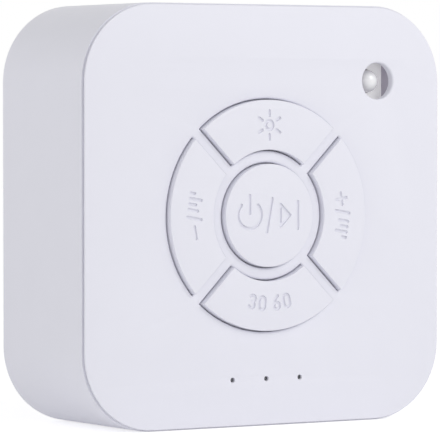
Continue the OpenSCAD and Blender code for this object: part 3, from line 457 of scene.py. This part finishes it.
# The surround: flat where it is glued to the cone and to the flange, with a half circle between.
roll_r = 1.6 * mm
roll_gap = 0.1 * mm
cone_lap = 0.8 * mm
film_t = 0.3 * mm
_, surround_r, surround_front, _ = round_size("speaker_surround")
roll_at = cone_r + roll_r + roll_gap
roll_turn = np.linspace(np.pi, 0, 25)
flat_depth = surround_front + film_t / 2
roll_radius = roll_at + (roll_r - film_t / 2) * np.cos(roll_turn)
roll_depth = flat_depth + (roll_r - film_t) * np.sin(roll_turn)
surround_radius = np.concatenate([[cone_r - cone_lap], roll_radius, [surround_r]])
surround_depth = np.concatenate([[flat_depth], roll_depth, [flat_depth]])
flexing_ring("speaker_surround", surround_radius, surround_depth, film_t, roll_at + roll_r, cone_r,
             surround_rubber)

# The spider: resin-dipped cloth with four corrugations, depth = middle + height x
# sin(2 pi waves s), with s from 0 at the former to 1 at the rim.
spider_t = 0.25 * mm
spider_waves = 4
spider_rise = 0.26 * mm
_, spider_r, spider_front, spider_back = round_size("speaker_spider")
spider_s = np.linspace(0, 1, 97)
spider_radius = neck_r + (spider_r - neck_r) * spider_s
spider_middle = (spider_front + spider_back) / 2
spider_depth = spider_middle + spider_rise * np.sin(2 * np.pi * spider_waves * spider_s)
flexing_ring("speaker_spider", spider_radius, spider_depth, spider_t, spider_r, neck_r, spider_cloth)

# ---------- Battery ----------
# A lithium polymer pouch of aluminium laminate, stuck to the back by a foam pad, with its small
# guard board at one end.
pouch_foil = metal("pouch_foil", (0.74, 0.74, 0.76), 0.38, tarnish=0.1, streak=1500)


def pillow(node, round_power, material, steps=48):
    """A block with soft edges that fills the CAD piece's box: x = a c(u) c(v), y = b s(v) and
    z = h c(v) s(u), where c and s are the cosine and sine raised to a small power. Those of v are
    rounded, so that both poles close."""
    low, high = (np.array(corner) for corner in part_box(node))
    middle, half = (low + high) / 2, (high - low) / 2

    def bend(wave):
        return np.sign(wave) * np.abs(wave) ** round_power

    u = np.linspace(0, 2 * np.pi, 2 * steps, endpoint=False)
    rings = []
    for v in np.linspace(-np.pi / 2, np.pi / 2, steps + 1):
        across, deep = bend(np.round([math.cos(v), math.sin(v)], 9))
        ring = np.stack([across * bend(np.cos(u)), deep + 0 * u, across * bend(np.sin(u))], axis=1)
        rings.append(middle + half * ring)
    return new_piece(node, [wall(*rings)], material)


pillow("battery_cell", 0.22, pouch_foil)
battery_pad = pillow("battery_pad", 0.12, foam)

# ---------- Circuit boards ----------
# Green lacquered glass-fibre boards with tinned joints: the main board behind the keys, the
# charging board at the slot and the battery's guard board.


def lacquered_board():
    """Green lacquer over copper tracks: a lighter, slightly raised net of tracks on a darker
    ground, in rows one pitch apart."""
    tree, given, result = start_group("lacquered_board", [
        ("Color", "Color", (0.02, 0.16, 0.06, 1)), ("Track", "Color", (0.05, 0.30, 0.12, 1)),
        ("Pitch", "Float", 1.6 * mm)], outputs=(("Color", "Color"), ("Normal", "Vector")))
    place = put(tree, "TexCoord", {}).outputs["Object"]
    flat = put(tree, "Mapping", {"Vector": place, "Rotation": (math.pi / 2, 0, 0)}).outputs[0]
    scale = put(tree, "Math", {0: 1.0, 1: given["Pitch"]}, operation="DIVIDE").outputs[0]
    tracks = put(tree, "TexBrick", {
        "Vector": flat, "Scale": scale, "Mortar Size": 0.09, "Mortar Smooth": 0.3,
        "Brick Width": 2.7, "Row Height": 1.0}).outputs["Fac"]
    colour = put(tree, "MixRGB", {0: tracks, 1: given["Color"], 2: given["Track"]}).outputs[0]
    tree.links.new(colour, result["Color"])
    bump = put(tree, "Bump", {"Height": tracks, "Distance": 0.03 * mm, "Strength": 0.6})
    tree.links.new(bump.outputs[0], result["Normal"])
    return tree


board = new_finish("board", lacquered_board(), {}, Roughness=0.3, Coat_Weight=0.3)
chip_black = moulded("chip_black", (0.025, 0.025, 0.028), 0.5, cloud=0.2, grain=2500, pit=0.02 * mm)
solder_metal = metal("solder_metal", (0.78, 0.78, 0.79), 0.18, tarnish=0.2)
can_metal = metal("can_metal", (0.50, 0.53, 0.58), 0.25)
socket_plastic = moulded("socket_plastic", (0.78, 0.74, 0.60), 0.5)
plug_plastic = moulded("plug_plastic", (0.80, 0.80, 0.77), 0.45)
port_steel = metal("port_steel", (0.66, 0.66, 0.68), 0.22)
for name in ("main_board", "charge_board", "battery_guard_board"):
    dress(name, board)
for name in ("sound_chip", "memory_chip", "amplifier_chip", "chip_resistors", "charge_parts"):
    dress(name, chip_black)
for name in ("capacitors", "crystal"):
    dress(name, can_metal)
for name in ("chip_legs", "switch_legs", "lamp_led_legs"):
    dress(name, solder_metal)
for name in ("board_screws", "charge_screws", "housing_screws"):
    dress(name, screw_steel)
dress("lead_sockets", socket_plastic)
dress("lead_plugs", plug_plastic)
dress("charge_socket", port_steel)

# ---------- Leads ----------
# Pairs of thin stranded wire in red and black sleeves, from plugs on the main board to the
# battery, the charging board and the loudspeaker, where they are soldered.
lead_r = 0.6 * mm
lead_sides = 16
lead_pitch = 2 * mm
plug_back = 17.2 * mm
tag_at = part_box("speaker_tag_strip")
tag_depth = tag_at[0].y - face_y
tag_up = (tag_at[0].z + tag_at[1].z) / 2 - mid_z
guard_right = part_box("battery_guard_board")[1].x
battery_up = (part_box("battery_cell")[0].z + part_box("battery_cell")[1].z) / 2 - mid_z
charge_low, charge_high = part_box("charge_board")
charge_x = (charge_low.x + charge_high.x) / 2
charge_front = charge_low.y - face_y
charge_up = (charge_low.z + charge_high.z) / 2 - mid_z
# Sockets on the main board, in millimetres to the right of the face's centre and above it
sockets = {"battery": (25.1, -19.0), "charge": (16.1, -33.0), "speaker": (-25.1, -19.0)}


def lead_routes(side):
    """Points (right, depth, up) of the three leads of one colour; side is 1 for red, -1 for black."""

    def from_plug(socket, out):
        right, up = sockets[socket]
        return [(right * mm, plug_back + step * mm, up * mm + side * lead_pitch / 2)
                for step in (0, out)]

    battery = from_plug("battery", 3) + [
        (20 * mm, 24 * mm, (-24 + 2 * side) * mm),
        (guard_right + 4 * mm, 28 * mm, battery_up + (2 + 3 * side) * mm),
        (guard_right, 28 * mm, battery_up + (2 + 3 * side) * mm)]
    charge = from_plug("charge", 1.3 - 0.3 * side) + [
        ((20 + 2 * side) * mm, (18.8 - 0.3 * side) * mm, (-34.2 + 1.1 * side) * mm),
        (charge_x + (2 * side - 2) * mm, charge_front - 1.2 * mm, charge_up),
        (charge_x + (2 * side - 2) * mm, charge_front, charge_up)]
    speaker = from_plug("speaker", 3) + [
        (-14 * mm, 23 * mm, (-16 + 2 * side) * mm),
        (-3 * side * mm, tag_depth - 3.5 * mm, tag_up),
        (-3 * side * mm, tag_depth, tag_up)]
    return battery, charge, speaker


def smooth_path(route, steps=8):
    """Catmull-Rom curve through the points: on each stretch a cubic in t whose slope at a point is
    half the way from the point before to the point after."""
    p = np.array(route)
    p = np.concatenate([p[:1], p, p[-1:]])
    a, b, c, d = (p[k:len(p) - 3 + k, None] for k in range(4))
    t = np.linspace(0, 1, steps, endpoint=False)[None, :, None]
    path = 0.5 * (2 * b + (c - a) * t + (2 * a - 5 * b + 4 * c - d) * t ** 2
                  + (3 * b - a - 3 * c + d) * t ** 3)
    return np.concatenate([path.reshape(-1, 3), p[-1:]])


def sleeve(route):
    """Round tube along a path with flat ends: path + r (u cos t + v sin t), where u and v stand
    square to the path. u is also square to a slanted direction that no lead runs along."""
    path = smooth_path(route)
    points = np.stack([path[:, 0], face_y + path[:, 1], mid_z + path[:, 2]], axis=1)
    along = np.gradient(points, axis=0)
    along /= np.linalg.norm(along, axis=1)[:, None]
    slanted = (0.36, 0.48, 0.8)
    u = np.cross(along, slanted)
    u /= np.linalg.norm(u, axis=1)[:, None]
    v = np.cross(along, u)
    turn = np.linspace(0, 2 * np.pi, lead_sides, endpoint=False)[:, None]
    rings = [at + lead_r * (np.cos(turn) * a + np.sin(turn) * b) for at, a, b in zip(points, u, v)]
    ends = [np.repeat(points[[k]], lead_sides, axis=0) for k in (0, -1)]
    return wall(ends[0], *rings, ends[1])


red_sleeve = moulded("red_sleeve", (0.45, 0.012, 0.012), 0.3, grain=1500)
black_sleeve = moulded("black_sleeve", (0.02, 0.02, 0.021), 0.3, cloud=0.2, grain=1500)
for side, node, finish in ((1, "red_leads", red_sleeve), (-1, "black_leads", black_sleeve)):
    new_piece(node, [sleeve(route) for route in lead_routes(side)], finish)

# ---------- Switches ----------
# Five quiet tact switches: a black nylon case on four flat legs, and a soft pale plunger that
# the key's stem rests on.
key_names = ("power", "light", "minus", "plus", "timer")
switch_case_plastic = moulded("switch_case_plastic", (0.035, 0.035, 0.038), 0.5, cloud=0.2, grain=2500)
switch_plunger_plastic = moulded("switch_plunger_plastic", (0.60, 0.60, 0.58), 0.6, cloud=0.08)
for name in key_names:
    dress(name + "_switch_case", switch_case_plastic)
    dress(name + "_switch_plunger", switch_plunger_plastic)

# ---------- Indicators and light guide ----------
# Three tiny lights on the board, and one clear strip that carries their light to the holes in
# the panel. Unlit, the tips look dark.
clear_guide = moulded("clear_guide", (0.32, 0.32, 0.36), 0.15, cloud=0.1, pit=0.002 * mm,
                      Transmission_Weight=0.7, IOR=1.49)
# Painted light: this finish glows faintly (Emission 0.06) as a painted highlight on the milky dome, and
# the unlit indicator lights that share it glow the same.
lamp_lens = moulded("lamp_lens", (0.85, 0.85, 0.86), 0.15, cloud=0.04, grain=900, pit=0.002 * mm,
                    Emission_Color=(1, 1, 1, 1), Emission_Strength=0.06, Coat_Weight=0.5, IOR=1.5)
dress("light_guide", clear_guide)
dress("indicator_leds", lamp_lens)

# ---------- Lamp ----------
# A milky 5 mm lamp with a flange, in a square cup that throws its light forwards. Inside, the cup's
# walls are darkened to pale grey as painted shade, and its floor is white and glows faintly as painted
# light.
cup_wall_shade_grey = (0.52, 0.49, 0.57)
cup_lit_floor_white = (0.95, 0.95, 0.95)
cup_painted_glow = 0.2


def cup_shade_and_glow():
    """Painted shade and glow: grey moulded plastic where the surface faces sideways, and white with a
    painted glow where it faces the front: the share of white rises from 0 to 1 as the normal's part
    along -Y goes from 0.5 to 0.9."""
    tree, given, result = start_group("cup_shade_and_glow", [
        ("Color", "Color", (*cup_wall_shade_grey, 1)), ("Paint", "Color", (*cup_lit_floor_white, 1))],
        outputs=(*skin_outputs, ("Emission Color", "Color")))
    facing = put(tree, "SeparateXYZ", {0: put(tree, "TexCoord", {}).outputs["Normal"]}).outputs["Y"]
    share = put(tree, "MapRange", {"Value": facing, "From Min": -0.5, "From Max": -0.9}).outputs[0]
    shaded_tint = put(tree, "MixRGB", {0: share, 1: given["Color"], 2: given["Paint"]}).outputs[0]
    glow = put(tree, "VectorMath", {0: given["Paint"], "Scale": share}, operation="SCALE").outputs[0]
    tree.links.new(glow, result["Emission Color"])
    place = put(tree, "TexCoord", {}).outputs["Object"]
    cloud = put(tree, "TexNoise", {"Vector": place, "Scale": 400, "Detail": 3}).outputs["Fac"]
    tree.links.new(shade(tree, shaded_tint, 0.04, cloud), result["Color"])
    rough = put(tree, "MapRange", {"Value": cloud, "To Min": 0.4, "To Max": 0.55}).outputs[0]
    tree.links.new(rough, result["Roughness"])
    pits = put(tree, "TexNoise", {"Vector": place, "Scale": 2500, "Detail": 2}).outputs["Fac"]
    bump = put(tree, "Bump", {"Height": pits, "Distance": 0.01 * mm, "Strength": 0.5})
    tree.links.new(bump.outputs[0], result["Normal"])
    return tree


# Painted shade and light: the cup's walls are darkened to grey, and its floor glows at the strength set
# above.
cup_plastic = new_finish("cup_plastic", cup_shade_and_glow(), {}, Emission_Strength=cup_painted_glow)
dress("lamp_cup", cup_plastic)

# The lens is half a ball on a straight side: radius = r sin t at depth tip + r (1 - cos t).
led_flange_t = 1 * mm
led_flange_w = 0.6 * mm
led_edge = 0.1 * mm
small_sides = 48
lamp_at, led_flange_r, led_tip, led_foot = round_size("lamp_led")
led_r = led_flange_r - led_flange_w
flange_d = led_foot - led_flange_t
dome_turn = np.linspace(0, np.pi / 2, 17)
dome = list(zip(led_r * np.sin(dome_turn), led_tip + led_r * (1 - np.cos(dome_turn))))
flange = [(led_r, flange_d), (led_flange_r - led_edge, flange_d), (led_flange_r, flange_d + led_edge),
          (led_flange_r, led_foot), (0, led_foot)]
new_piece("lamp_led", [turned(dome + flange, lamp_at, small_sides)], lamp_lens)

# ---------- Front panel ----------
# A flat moulded cover in the same plastic. Its rim closes the housing with a fine groove, its lip
# and posts sit inside, and all its openings have softly rounded mouths.
panel_t = 1.8 * mm
corner_r = 17 * mm
panel_inset = 0.3 * mm
panel_w = body_w - 2 * panel_inset
panel_corner = corner_r - panel_inset
rim_t = 0.4 * mm
rim_edge = 0.2 * mm
housing_wall = 2 * mm
lip_gap = 0.15 * mm
lip_inset = housing_wall + lip_gap
lip_w = body_w - 2 * lip_inset
lip_corner = corner_r - lip_inset
lip_t = 1.2 * mm
lip_h = 3 * mm
lip_end = panel_t + lip_h
hub_r = 11.55 * mm
hub_sides = 144
web_w = 2.5 * mm
ring_r = hub_r + web_w
pad_r = 25.5 * mm
bar_w = 2.5 * mm
mouth = 0.5 * mm
lamp_r = 4.05 * mm
lamp_mouth = 0.45 * mm
dot_r = 0.55 * mm
dot_mouth = 0.12 * mm
dot_sides = 24
dot_rise = 10.3 * mm
dot_pitch = 8.7 * mm
dots = [(x * dot_pitch, dot_rise - mid_z) for x in (-1, 0, 1)]
board_post_r = 2.4 * mm
board_pilot_r = 0.85 * mm
board_pilot = 6 * mm
housing_post_r = 2.9 * mm
housing_pilot_r = 1.25 * mm
housing_pilot_d = 6 * mm
housing_post_end = 12.5 * mm
# The board's posts, by their distances from its sides, its top, its lower edge and the lamp
board_post_inset = 7 * mm
board_post_drop = 3 * mm
board_post_rise = 6 * mm
board_post_clear = 15.4 * mm
board_low, board_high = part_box("main_board")
board_d = board_low.y - face_y
board_post_x = board_high.x - board_post_inset
board_post_top = board_high.z - mid_z - board_post_drop
board_post_low = board_low.z - mid_z + board_post_rise
board_post_lamp = lamp_at[0] - board_post_clear
board_posts = [(-board_post_x, board_post_top), (board_post_lamp, board_post_top),
               (-board_post_x, board_post_low), (board_post_x, board_post_low)]
housing_post_inset = 7 * mm
housing_post_x = mid_z - housing_post_inset
housing_post_z = 16 * mm
housing_posts = [(x * housing_post_x, z * housing_post_z) for x in (-1, 1) for z in (-1, 1)]


def squircle(width, corner, steps=14):
    """Square with round corners: four quarter circles of radius corner."""
    swing = np.linspace(0, np.pi / 2, steps + 1)
    middle = width / 2 - corner
    arcs = [np.array([x * middle, z * middle])
            + corner * np.stack([np.cos(swing + start), np.sin(swing + start)], axis=1)
            for x, z, start in ((1, 1, 0), (-1, 1, np.pi / 2), (-1, -1, np.pi), (1, -1, 3 * np.pi / 2))]
    return np.concatenate(arcs)


def round_hole(radius, at, sides):
    """A round opening's outline, as a function of how far it is moved outwards."""
    return lambda grow: circle(radius + grow, at, sides)


def ring_hole(turn, steps=40):
    """A ring key's opening, in the same way: two arcs about the face's centre between two sides
    that lie bar_w / 2 - grow from the diagonals. An arc of radius r starts asin(side / r) past a
    diagonal."""

    def outline(grow):
        side = bar_w / 2 - grow
        arcs = []
        for radius, way in ((pad_r + grow, 1), (ring_r - grow, -1)):
            past = math.asin(side / radius)
            reach = np.linspace(np.pi / 4 + past, 3 * np.pi / 4 - past, steps + 1)[::way] + turn
            arcs.append(radius * np.stack([np.cos(reach), np.sin(reach)], axis=1))
        return np.concatenate(arcs)

    return outline


def rounded_edge(outline, grow, out, depth, radius, steps=4):
    """Rings of a rounded edge from a flat face to a wall, along a quarter circle: at angle a the
    outline grows by grow + out radius (1 - sin a) at depth + radius (1 - cos a)."""
    swing = np.linspace(0, np.pi / 2, steps + 1)
    return [on_face(outline(grow + out * radius * (1 - math.sin(a))),
                    depth + radius * (1 - math.cos(a))) for a in swing]


def plate(depth, *outlines):
    """Flat face at one depth, inside the first outline and outside all the others."""
    rings = [on_face(outline, depth) for outline in outlines]
    faces = tessellate_polygon([[Vector((x, z, 0)) for x, _, z in ring] for ring in rings])
    return np.concatenate(rings), np.array(faces), False


def post(at, radius, end, hole_r, hole_end):
    """Round post on the panel's back with a blind screw hole."""
    profile = [(radius, panel_t), (radius, end), (hole_r, end), (hole_r, hole_end)]
    return [turned(profile, at, small_sides), plate(hole_end, circle(hole_r, at, small_sides))]


# Each opening as its outline and the rounding of its mouth
hub_hole = round_hole(hub_r, (0, 0), hub_sides)
openings = [(hub_hole, mouth)]
openings += [(ring_hole(turn), mouth) for turn in np.arange(4) * np.pi / 2]
openings += [(round_hole(lamp_r, lamp_at, round_sides), lamp_mouth)]
openings += [(round_hole(dot_r, at, dot_sides), dot_mouth) for at in dots]
rim = rounded_edge(lambda grow: squircle(panel_w + 2 * grow, panel_corner + grow), 0, -1, 0, rim_edge)
lip = [squircle(lip_w, lip_corner), squircle(lip_w - 2 * lip_t, lip_corner - lip_t)]
post_outlines = [circle(board_post_r, at, small_sides) for at in board_posts]
post_outlines += [circle(housing_post_r, at, small_sides) for at in housing_posts]
surfaces = [
    plate(0, squircle(panel_w - 2 * rim_edge, panel_corner - rim_edge),
          *[outline(size) for outline, size in openings]),
    wall(*rim, on_face(squircle(panel_w, panel_corner), rim_t), on_face(lip[0], rim_t),
         on_face(lip[0], lip_end), on_face(lip[1], lip_end), on_face(lip[1], panel_t)),
    plate(panel_t, lip[1], *[outline(0) for outline, _ in openings], *post_outlines)]
for outline, size in openings:
    surfaces.append(wall(*rounded_edge(outline, 0, 1, 0, size), on_face(outline(0), panel_t)))
for at in board_posts:
    surfaces += post(at, board_post_r, board_d, board_pilot_r, board_d - board_pilot)
for at in housing_posts:
    surfaces += post(at, housing_post_r, housing_post_end, housing_pilot_r, housing_pilot_d)
new_piece("front_panel", surfaces, shell_plastic)

# ---------- Keys ----------
# Five hollow caps that stand a little proud of the panel. Each has a flange that keeps it behind
# the panel, a stem down to its switch, and its sign engraved in the top.
key_gap = 0.3 * mm
key_proud = 1.2 * mm
key_edge = 0.15 * mm
key_wall = 1.2 * mm
key_skin = 1.6 * mm
flange_w = 0.8 * mm
flange_gap = 0.1 * mm
flange_t = 1 * mm
flange_front = panel_t + flange_gap
flange_back = flange_front + flange_t
stem_r = 1.6 * mm
stem_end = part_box("power_switch_plunger")[0].y - face_y
line_w = 0.6 * mm
line_depth = 0.4 * mm
line_bevel = 0.06 * mm
half_line = line_w / 2 / mm
cell = 0.05 * mm
symbol_r = 19.2 * mm
sun_z = 19.7 * mm
key_plastic = moulded("key_plastic", shell_white, 0.4, cloud=0.02, grain=3500, pit=0.006 * mm)


def stroke(*points):
    """Middle line of an engraved stroke, from millimetres to metres."""
    return np.array(points, dtype=float) * mm


def arc(radius, start, end, at=(0, 0), steps=20):
    """Arc from a start to an end angle in degrees: at + radius (cos t, sin t)."""
    turn = np.radians(np.linspace(start, end, steps + 1))
    return stroke(*np.stack([at[0] + radius * np.cos(turn), at[1] + radius * np.sin(turn)], axis=1))


def turned_by(strokes, degrees):
    """The strokes turned about the face's centre."""
    c, s = math.cos(math.radians(degrees)), math.sin(math.radians(degrees))
    return [line @ np.array([[c, s], [-s, c]]) for line in strokes]


def on_ring(strokes, degrees):
    """Puts a sign on the symbol ring, at its lower end before the turn."""
    return turned_by([line - (0, symbol_r) for line in strokes], degrees)


def power_sign():
    """Open circle with a bar in its gap, a slash, and a triangle against a bar. The triangle's
    stroke runs half a line inside its edges."""
    ring_x = -5.05
    left, length, half_height = 2.6, 3.2, 3.1
    foot = left + half_line
    tip = left + length - half_line * math.hypot(length, half_height) / half_height
    corner = (tip - foot) * half_height / length
    return [arc(3, 135, 405, (ring_x, 0.2)), stroke((ring_x, 0.5), (ring_x, 4.4)),
            stroke((-0.65, -3.6), (0.75, 3.7)),
            stroke((foot, corner), (foot, -corner), (tip, 0), (foot, corner)),
            stroke((7.4, -2.95), (7.4, 2.95))]


def sun_sign():
    """Small circle with six rays."""
    ray = stroke((2.1, 0), (3.1, 0))
    rays = [line for turn in range(30, 331, 60) for line in turned_by([ray], turn)]
    return [line + (0, sun_z) for line in [arc(0.95, 0, 360)] + rays]


def level_sign(slash_turn, mark):
    """Four bars of different heights, a slash and a minus or plus mark along the ring."""
    pitch, foot, tallest = 1.2, -1.7, 3.4
    heights = (0.45, 1, 0.65, 0.85)
    places = [(i - 1.5) * pitch for i in range(len(heights))]
    bars = [stroke((place, foot + half_line), (place, foot + tallest * height - half_line))
            for place, height in zip(places, heights)]
    return (on_ring(bars, -9.5) + on_ring([stroke((-0.35, -1.75), (0.35, 1.75))], slash_turn)
            + on_ring(mark, 10.3))


def timer_sign():
    """The figures 3, 0, 6 and 0 along the ring, made of arcs above and below their middles."""
    bowl, rise, hook, tail = 0.75, 0.65, 0.7, 2.475
    zero = [np.concatenate([arc(bowl, 0, 180, (0, rise)), arc(bowl, 180, 360, (0, -rise)),
                            stroke((bowl, rise))])]
    three = [arc(hook, -90, 150, (0, hook)), arc(hook, -150, 90, (0, -hook))]
    six = [arc(bowl, 0, 360, (0, -rise)), arc(tail, 122, 180, (tail - bowl, -rise))]
    places = ((three, -13.4), (zero, -5.6), (six, 5.6), (zero, 13.4))
    return [line for figure, turn in places for line in on_ring(figure, turn)]


def engraving(strokes, top):
    """Height field round a sign and the outline of its edge. The depth below the top is
    line_depth x S((line_w / 2 - distance) / line_bevel + 1 / 2), where distance is that to the
    nearest stroke's middle line and S(t) = 3 t^2 - 2 t^3 between 0 and 1."""
    ends = np.concatenate([np.concatenate([line[:-1], line[1:]], axis=1) for line in strokes])
    margin = line_w / 2 + line_bevel + cell
    low = ends.reshape(-1, 2).min(axis=0) - margin
    high = ends.reshape(-1, 2).max(axis=0) + margin
    columns, rows = np.ceil((high - low) / cell).astype(int) + 1
    right, up = np.meshgrid(np.linspace(low[0], high[0], columns), np.linspace(low[1], high[1], rows))
    place = np.stack([right, up], axis=-1)
    distance = np.full(right.shape, np.inf)
    for end in ends:
        start, run = end[:2], end[2:] - end[:2]
        share = np.clip((place - start) @ run / (run @ run), 0, 1)
        distance = np.minimum(distance, np.linalg.norm(place - start - share[..., None] * run, axis=-1))
    t = np.clip((line_w / 2 - distance) / line_bevel + 0.5, 0, 1)
    depth = top + line_depth * t * t * (3 - 2 * t)
    index = np.arange(rows * columns).reshape(rows, columns)
    quads = np.stack([index[:-1, :-1], index[:-1, 1:], index[1:, 1:], index[1:, :-1]], axis=-1)
    border = np.concatenate([index[0, :-1], index[:-1, -1], index[-1, :0:-1], index[:0:-1, 0]])
    flat = place.reshape(-1, 2)
    return flat[border], (on_face(flat, depth.ravel()), quads.reshape(-1, 4), True)


def key_cap(node, outline, strokes, stem_at):
    """A key: engraved top, rounded edge, side, flange, hollow and stem, all one closed skin."""
    top = -key_proud
    side, hollow = -key_gap, -key_gap - key_wall
    edge, patch = engraving(strokes, top)
    stem = circle(stem_r, stem_at, small_sides)
    return new_piece(node, [
        patch, plate(top, outline(side - key_edge), edge),
        wall(*rounded_edge(outline, side, -1, top, key_edge), on_face(outline(side), flange_front),
             on_face(outline(flange_w), flange_front), on_face(outline(flange_w), flange_back),
             on_face(outline(hollow), flange_back), on_face(outline(hollow), top + key_skin)),
        plate(top + key_skin, outline(hollow), stem),
        wall(on_face(stem, top + key_skin), on_face(stem, stem_end)),
        plate(stem_end, stem)], key_plastic)


minus_mark = [stroke((-1.3, 0), (1.3, 0))]
plus_mark = minus_mark + [stroke((0, -1.3), (0, 1.3))]
switch_r = (ring_r + pad_r) / 2
key_cap("power_key", hub_hole, power_sign(), (0, 0))
ring_keys = (("light", 0, sun_sign()), ("minus", 1, turned_by(level_sign(1, minus_mark), -90)),
             ("timer", 2, timer_sign()), ("plus", 3, turned_by(level_sign(1.5, plus_mark), 90)))
for name, quarter, sign in ring_keys:
    turn = quarter * np.pi / 2
    key_cap(name + "_key", ring_hole(turn), sign,
            (-switch_r * math.sin(turn), switch_r * math.cos(turn)))

# ---------- Floor and studio ----------
# A plain pale floor in a bright round studio. Soft light comes from the front, the left and the
# right, a little from above and behind, and from one large lamp above and in front. Each lobe of
# it has a direction, a strength and a power.
sky_lobes = [
    ((0, -1, 0), 0.79, 4), ((-1, -1, 0), 0.98, 4), ((-1, 0.3, 0), 1.7, 7),
    ((1, 0, 0.1), 0.53, 4), ((0.7, -0.3, 0.7), 0.48, 4), ((0, 1, 0.2), 0.6, 4)]
sky_level = 0.18
lamp_place = Vector((0.18, -0.36, 0.34))
lamp_power = 0.56
lamp_size = 0.22


def studio_world():
    """White to the eye, in reflections and through clear parts. As light it is a sum of soft
    lobes, each its strength times a power of the cosine to its direction."""
    world = bpy.data.worlds.new("studio")
    world.use_nodes = True
    tree = world.node_tree
    tree.nodes.clear()
    direction = put(tree, "TexCoord", {}).outputs["Generated"]
    total = sky_level
    for way, strength, power in sky_lobes:
        cosine = put(tree, "VectorMath", {0: direction, 1: Vector(way).normalized()},
                     operation="DOT_PRODUCT").outputs["Value"]
        front = put(tree, "Math", {0: cosine, 1: 0.0}, operation="MAXIMUM").outputs[0]
        lobe = put(tree, "Math", {0: front, 1: power}, operation="POWER").outputs[0]
        total = put(tree, "Math", {0: lobe, 1: strength, 2: total}, operation="MULTIPLY_ADD").outputs[0]
    level = put(tree, "Mix", {0: seen_directly(tree), 2: total, 3: 1.0}).outputs[0]
    sky = put(tree, "Background", {"Color": (1, 1, 1, 1), "Strength": level})
    put(tree, "OutputWorld", {"Surface": sky.outputs[0]})
    return world


def seen_directly(tree):
    """1 for camera, glossy and transmission rays, and 0 for light that is scattered."""
    path = put(tree, "LightPath", {}).outputs
    seen = path["Is Camera Ray"]
    for kind in ("Is Glossy Ray", "Is Transmission Ray"):
        seen = put(tree, "Math", {0: seen, 1: path[kind]}, operation="MAXIMUM").outputs[0]
    return seen


bpy.context.scene.world = studio_world()
lamp = bpy.data.objects.new("studio_lamp", bpy.data.lights.new("studio_lamp", "AREA"))
lamp.data.energy = lamp_power
lamp.data.size = lamp_size
lamp.location = lamp_place
lamp.rotation_euler = (Vector((0, 0, mid_z)) - lamp_place).to_track_quat("-Z", "Y").to_euler()
bpy.context.scene.collection.objects.link(lamp)

# The floor lies a hair below the unit, so that the two don't share a plane. It glows a little, and
# more as the camera sees it than as it lights the unit.
floor_half = 2.0
floor_z = -0.05 * mm
floor_glow = 0.2
floor_glow_seen = 0.55
floor_corners = [(x * floor_half, y * floor_half, floor_z)
                 for x, y in ((-1, -1), (1, -1), (1, 1), (-1, 1))]
floor_mesh = bpy.data.meshes.new("floor")
floor_mesh.from_pydata(floor_corners, [], [(0, 1, 2, 3)])
floor = bpy.data.objects.new("floor", floor_mesh)
bpy.context.scene.collection.objects.link(floor)
floor_white = moulded("floor_white", (0.8, 0.8, 0.81), 0.9, Emission_Color=(1, 1, 1, 1))
floor_tree = floor_white.node_tree
floor_seen = put(floor_tree, "LightPath", {}).outputs["Is Camera Ray"]
glow = put(floor_tree, "Mix", {0: floor_seen, 2: floor_glow, 3: floor_glow_seen}).outputs[0]
floor_tree.links.new(glow, floor_tree.nodes["Principled BSDF"].inputs["Emission Strength"])
floor_mesh.materials.append(floor_white)
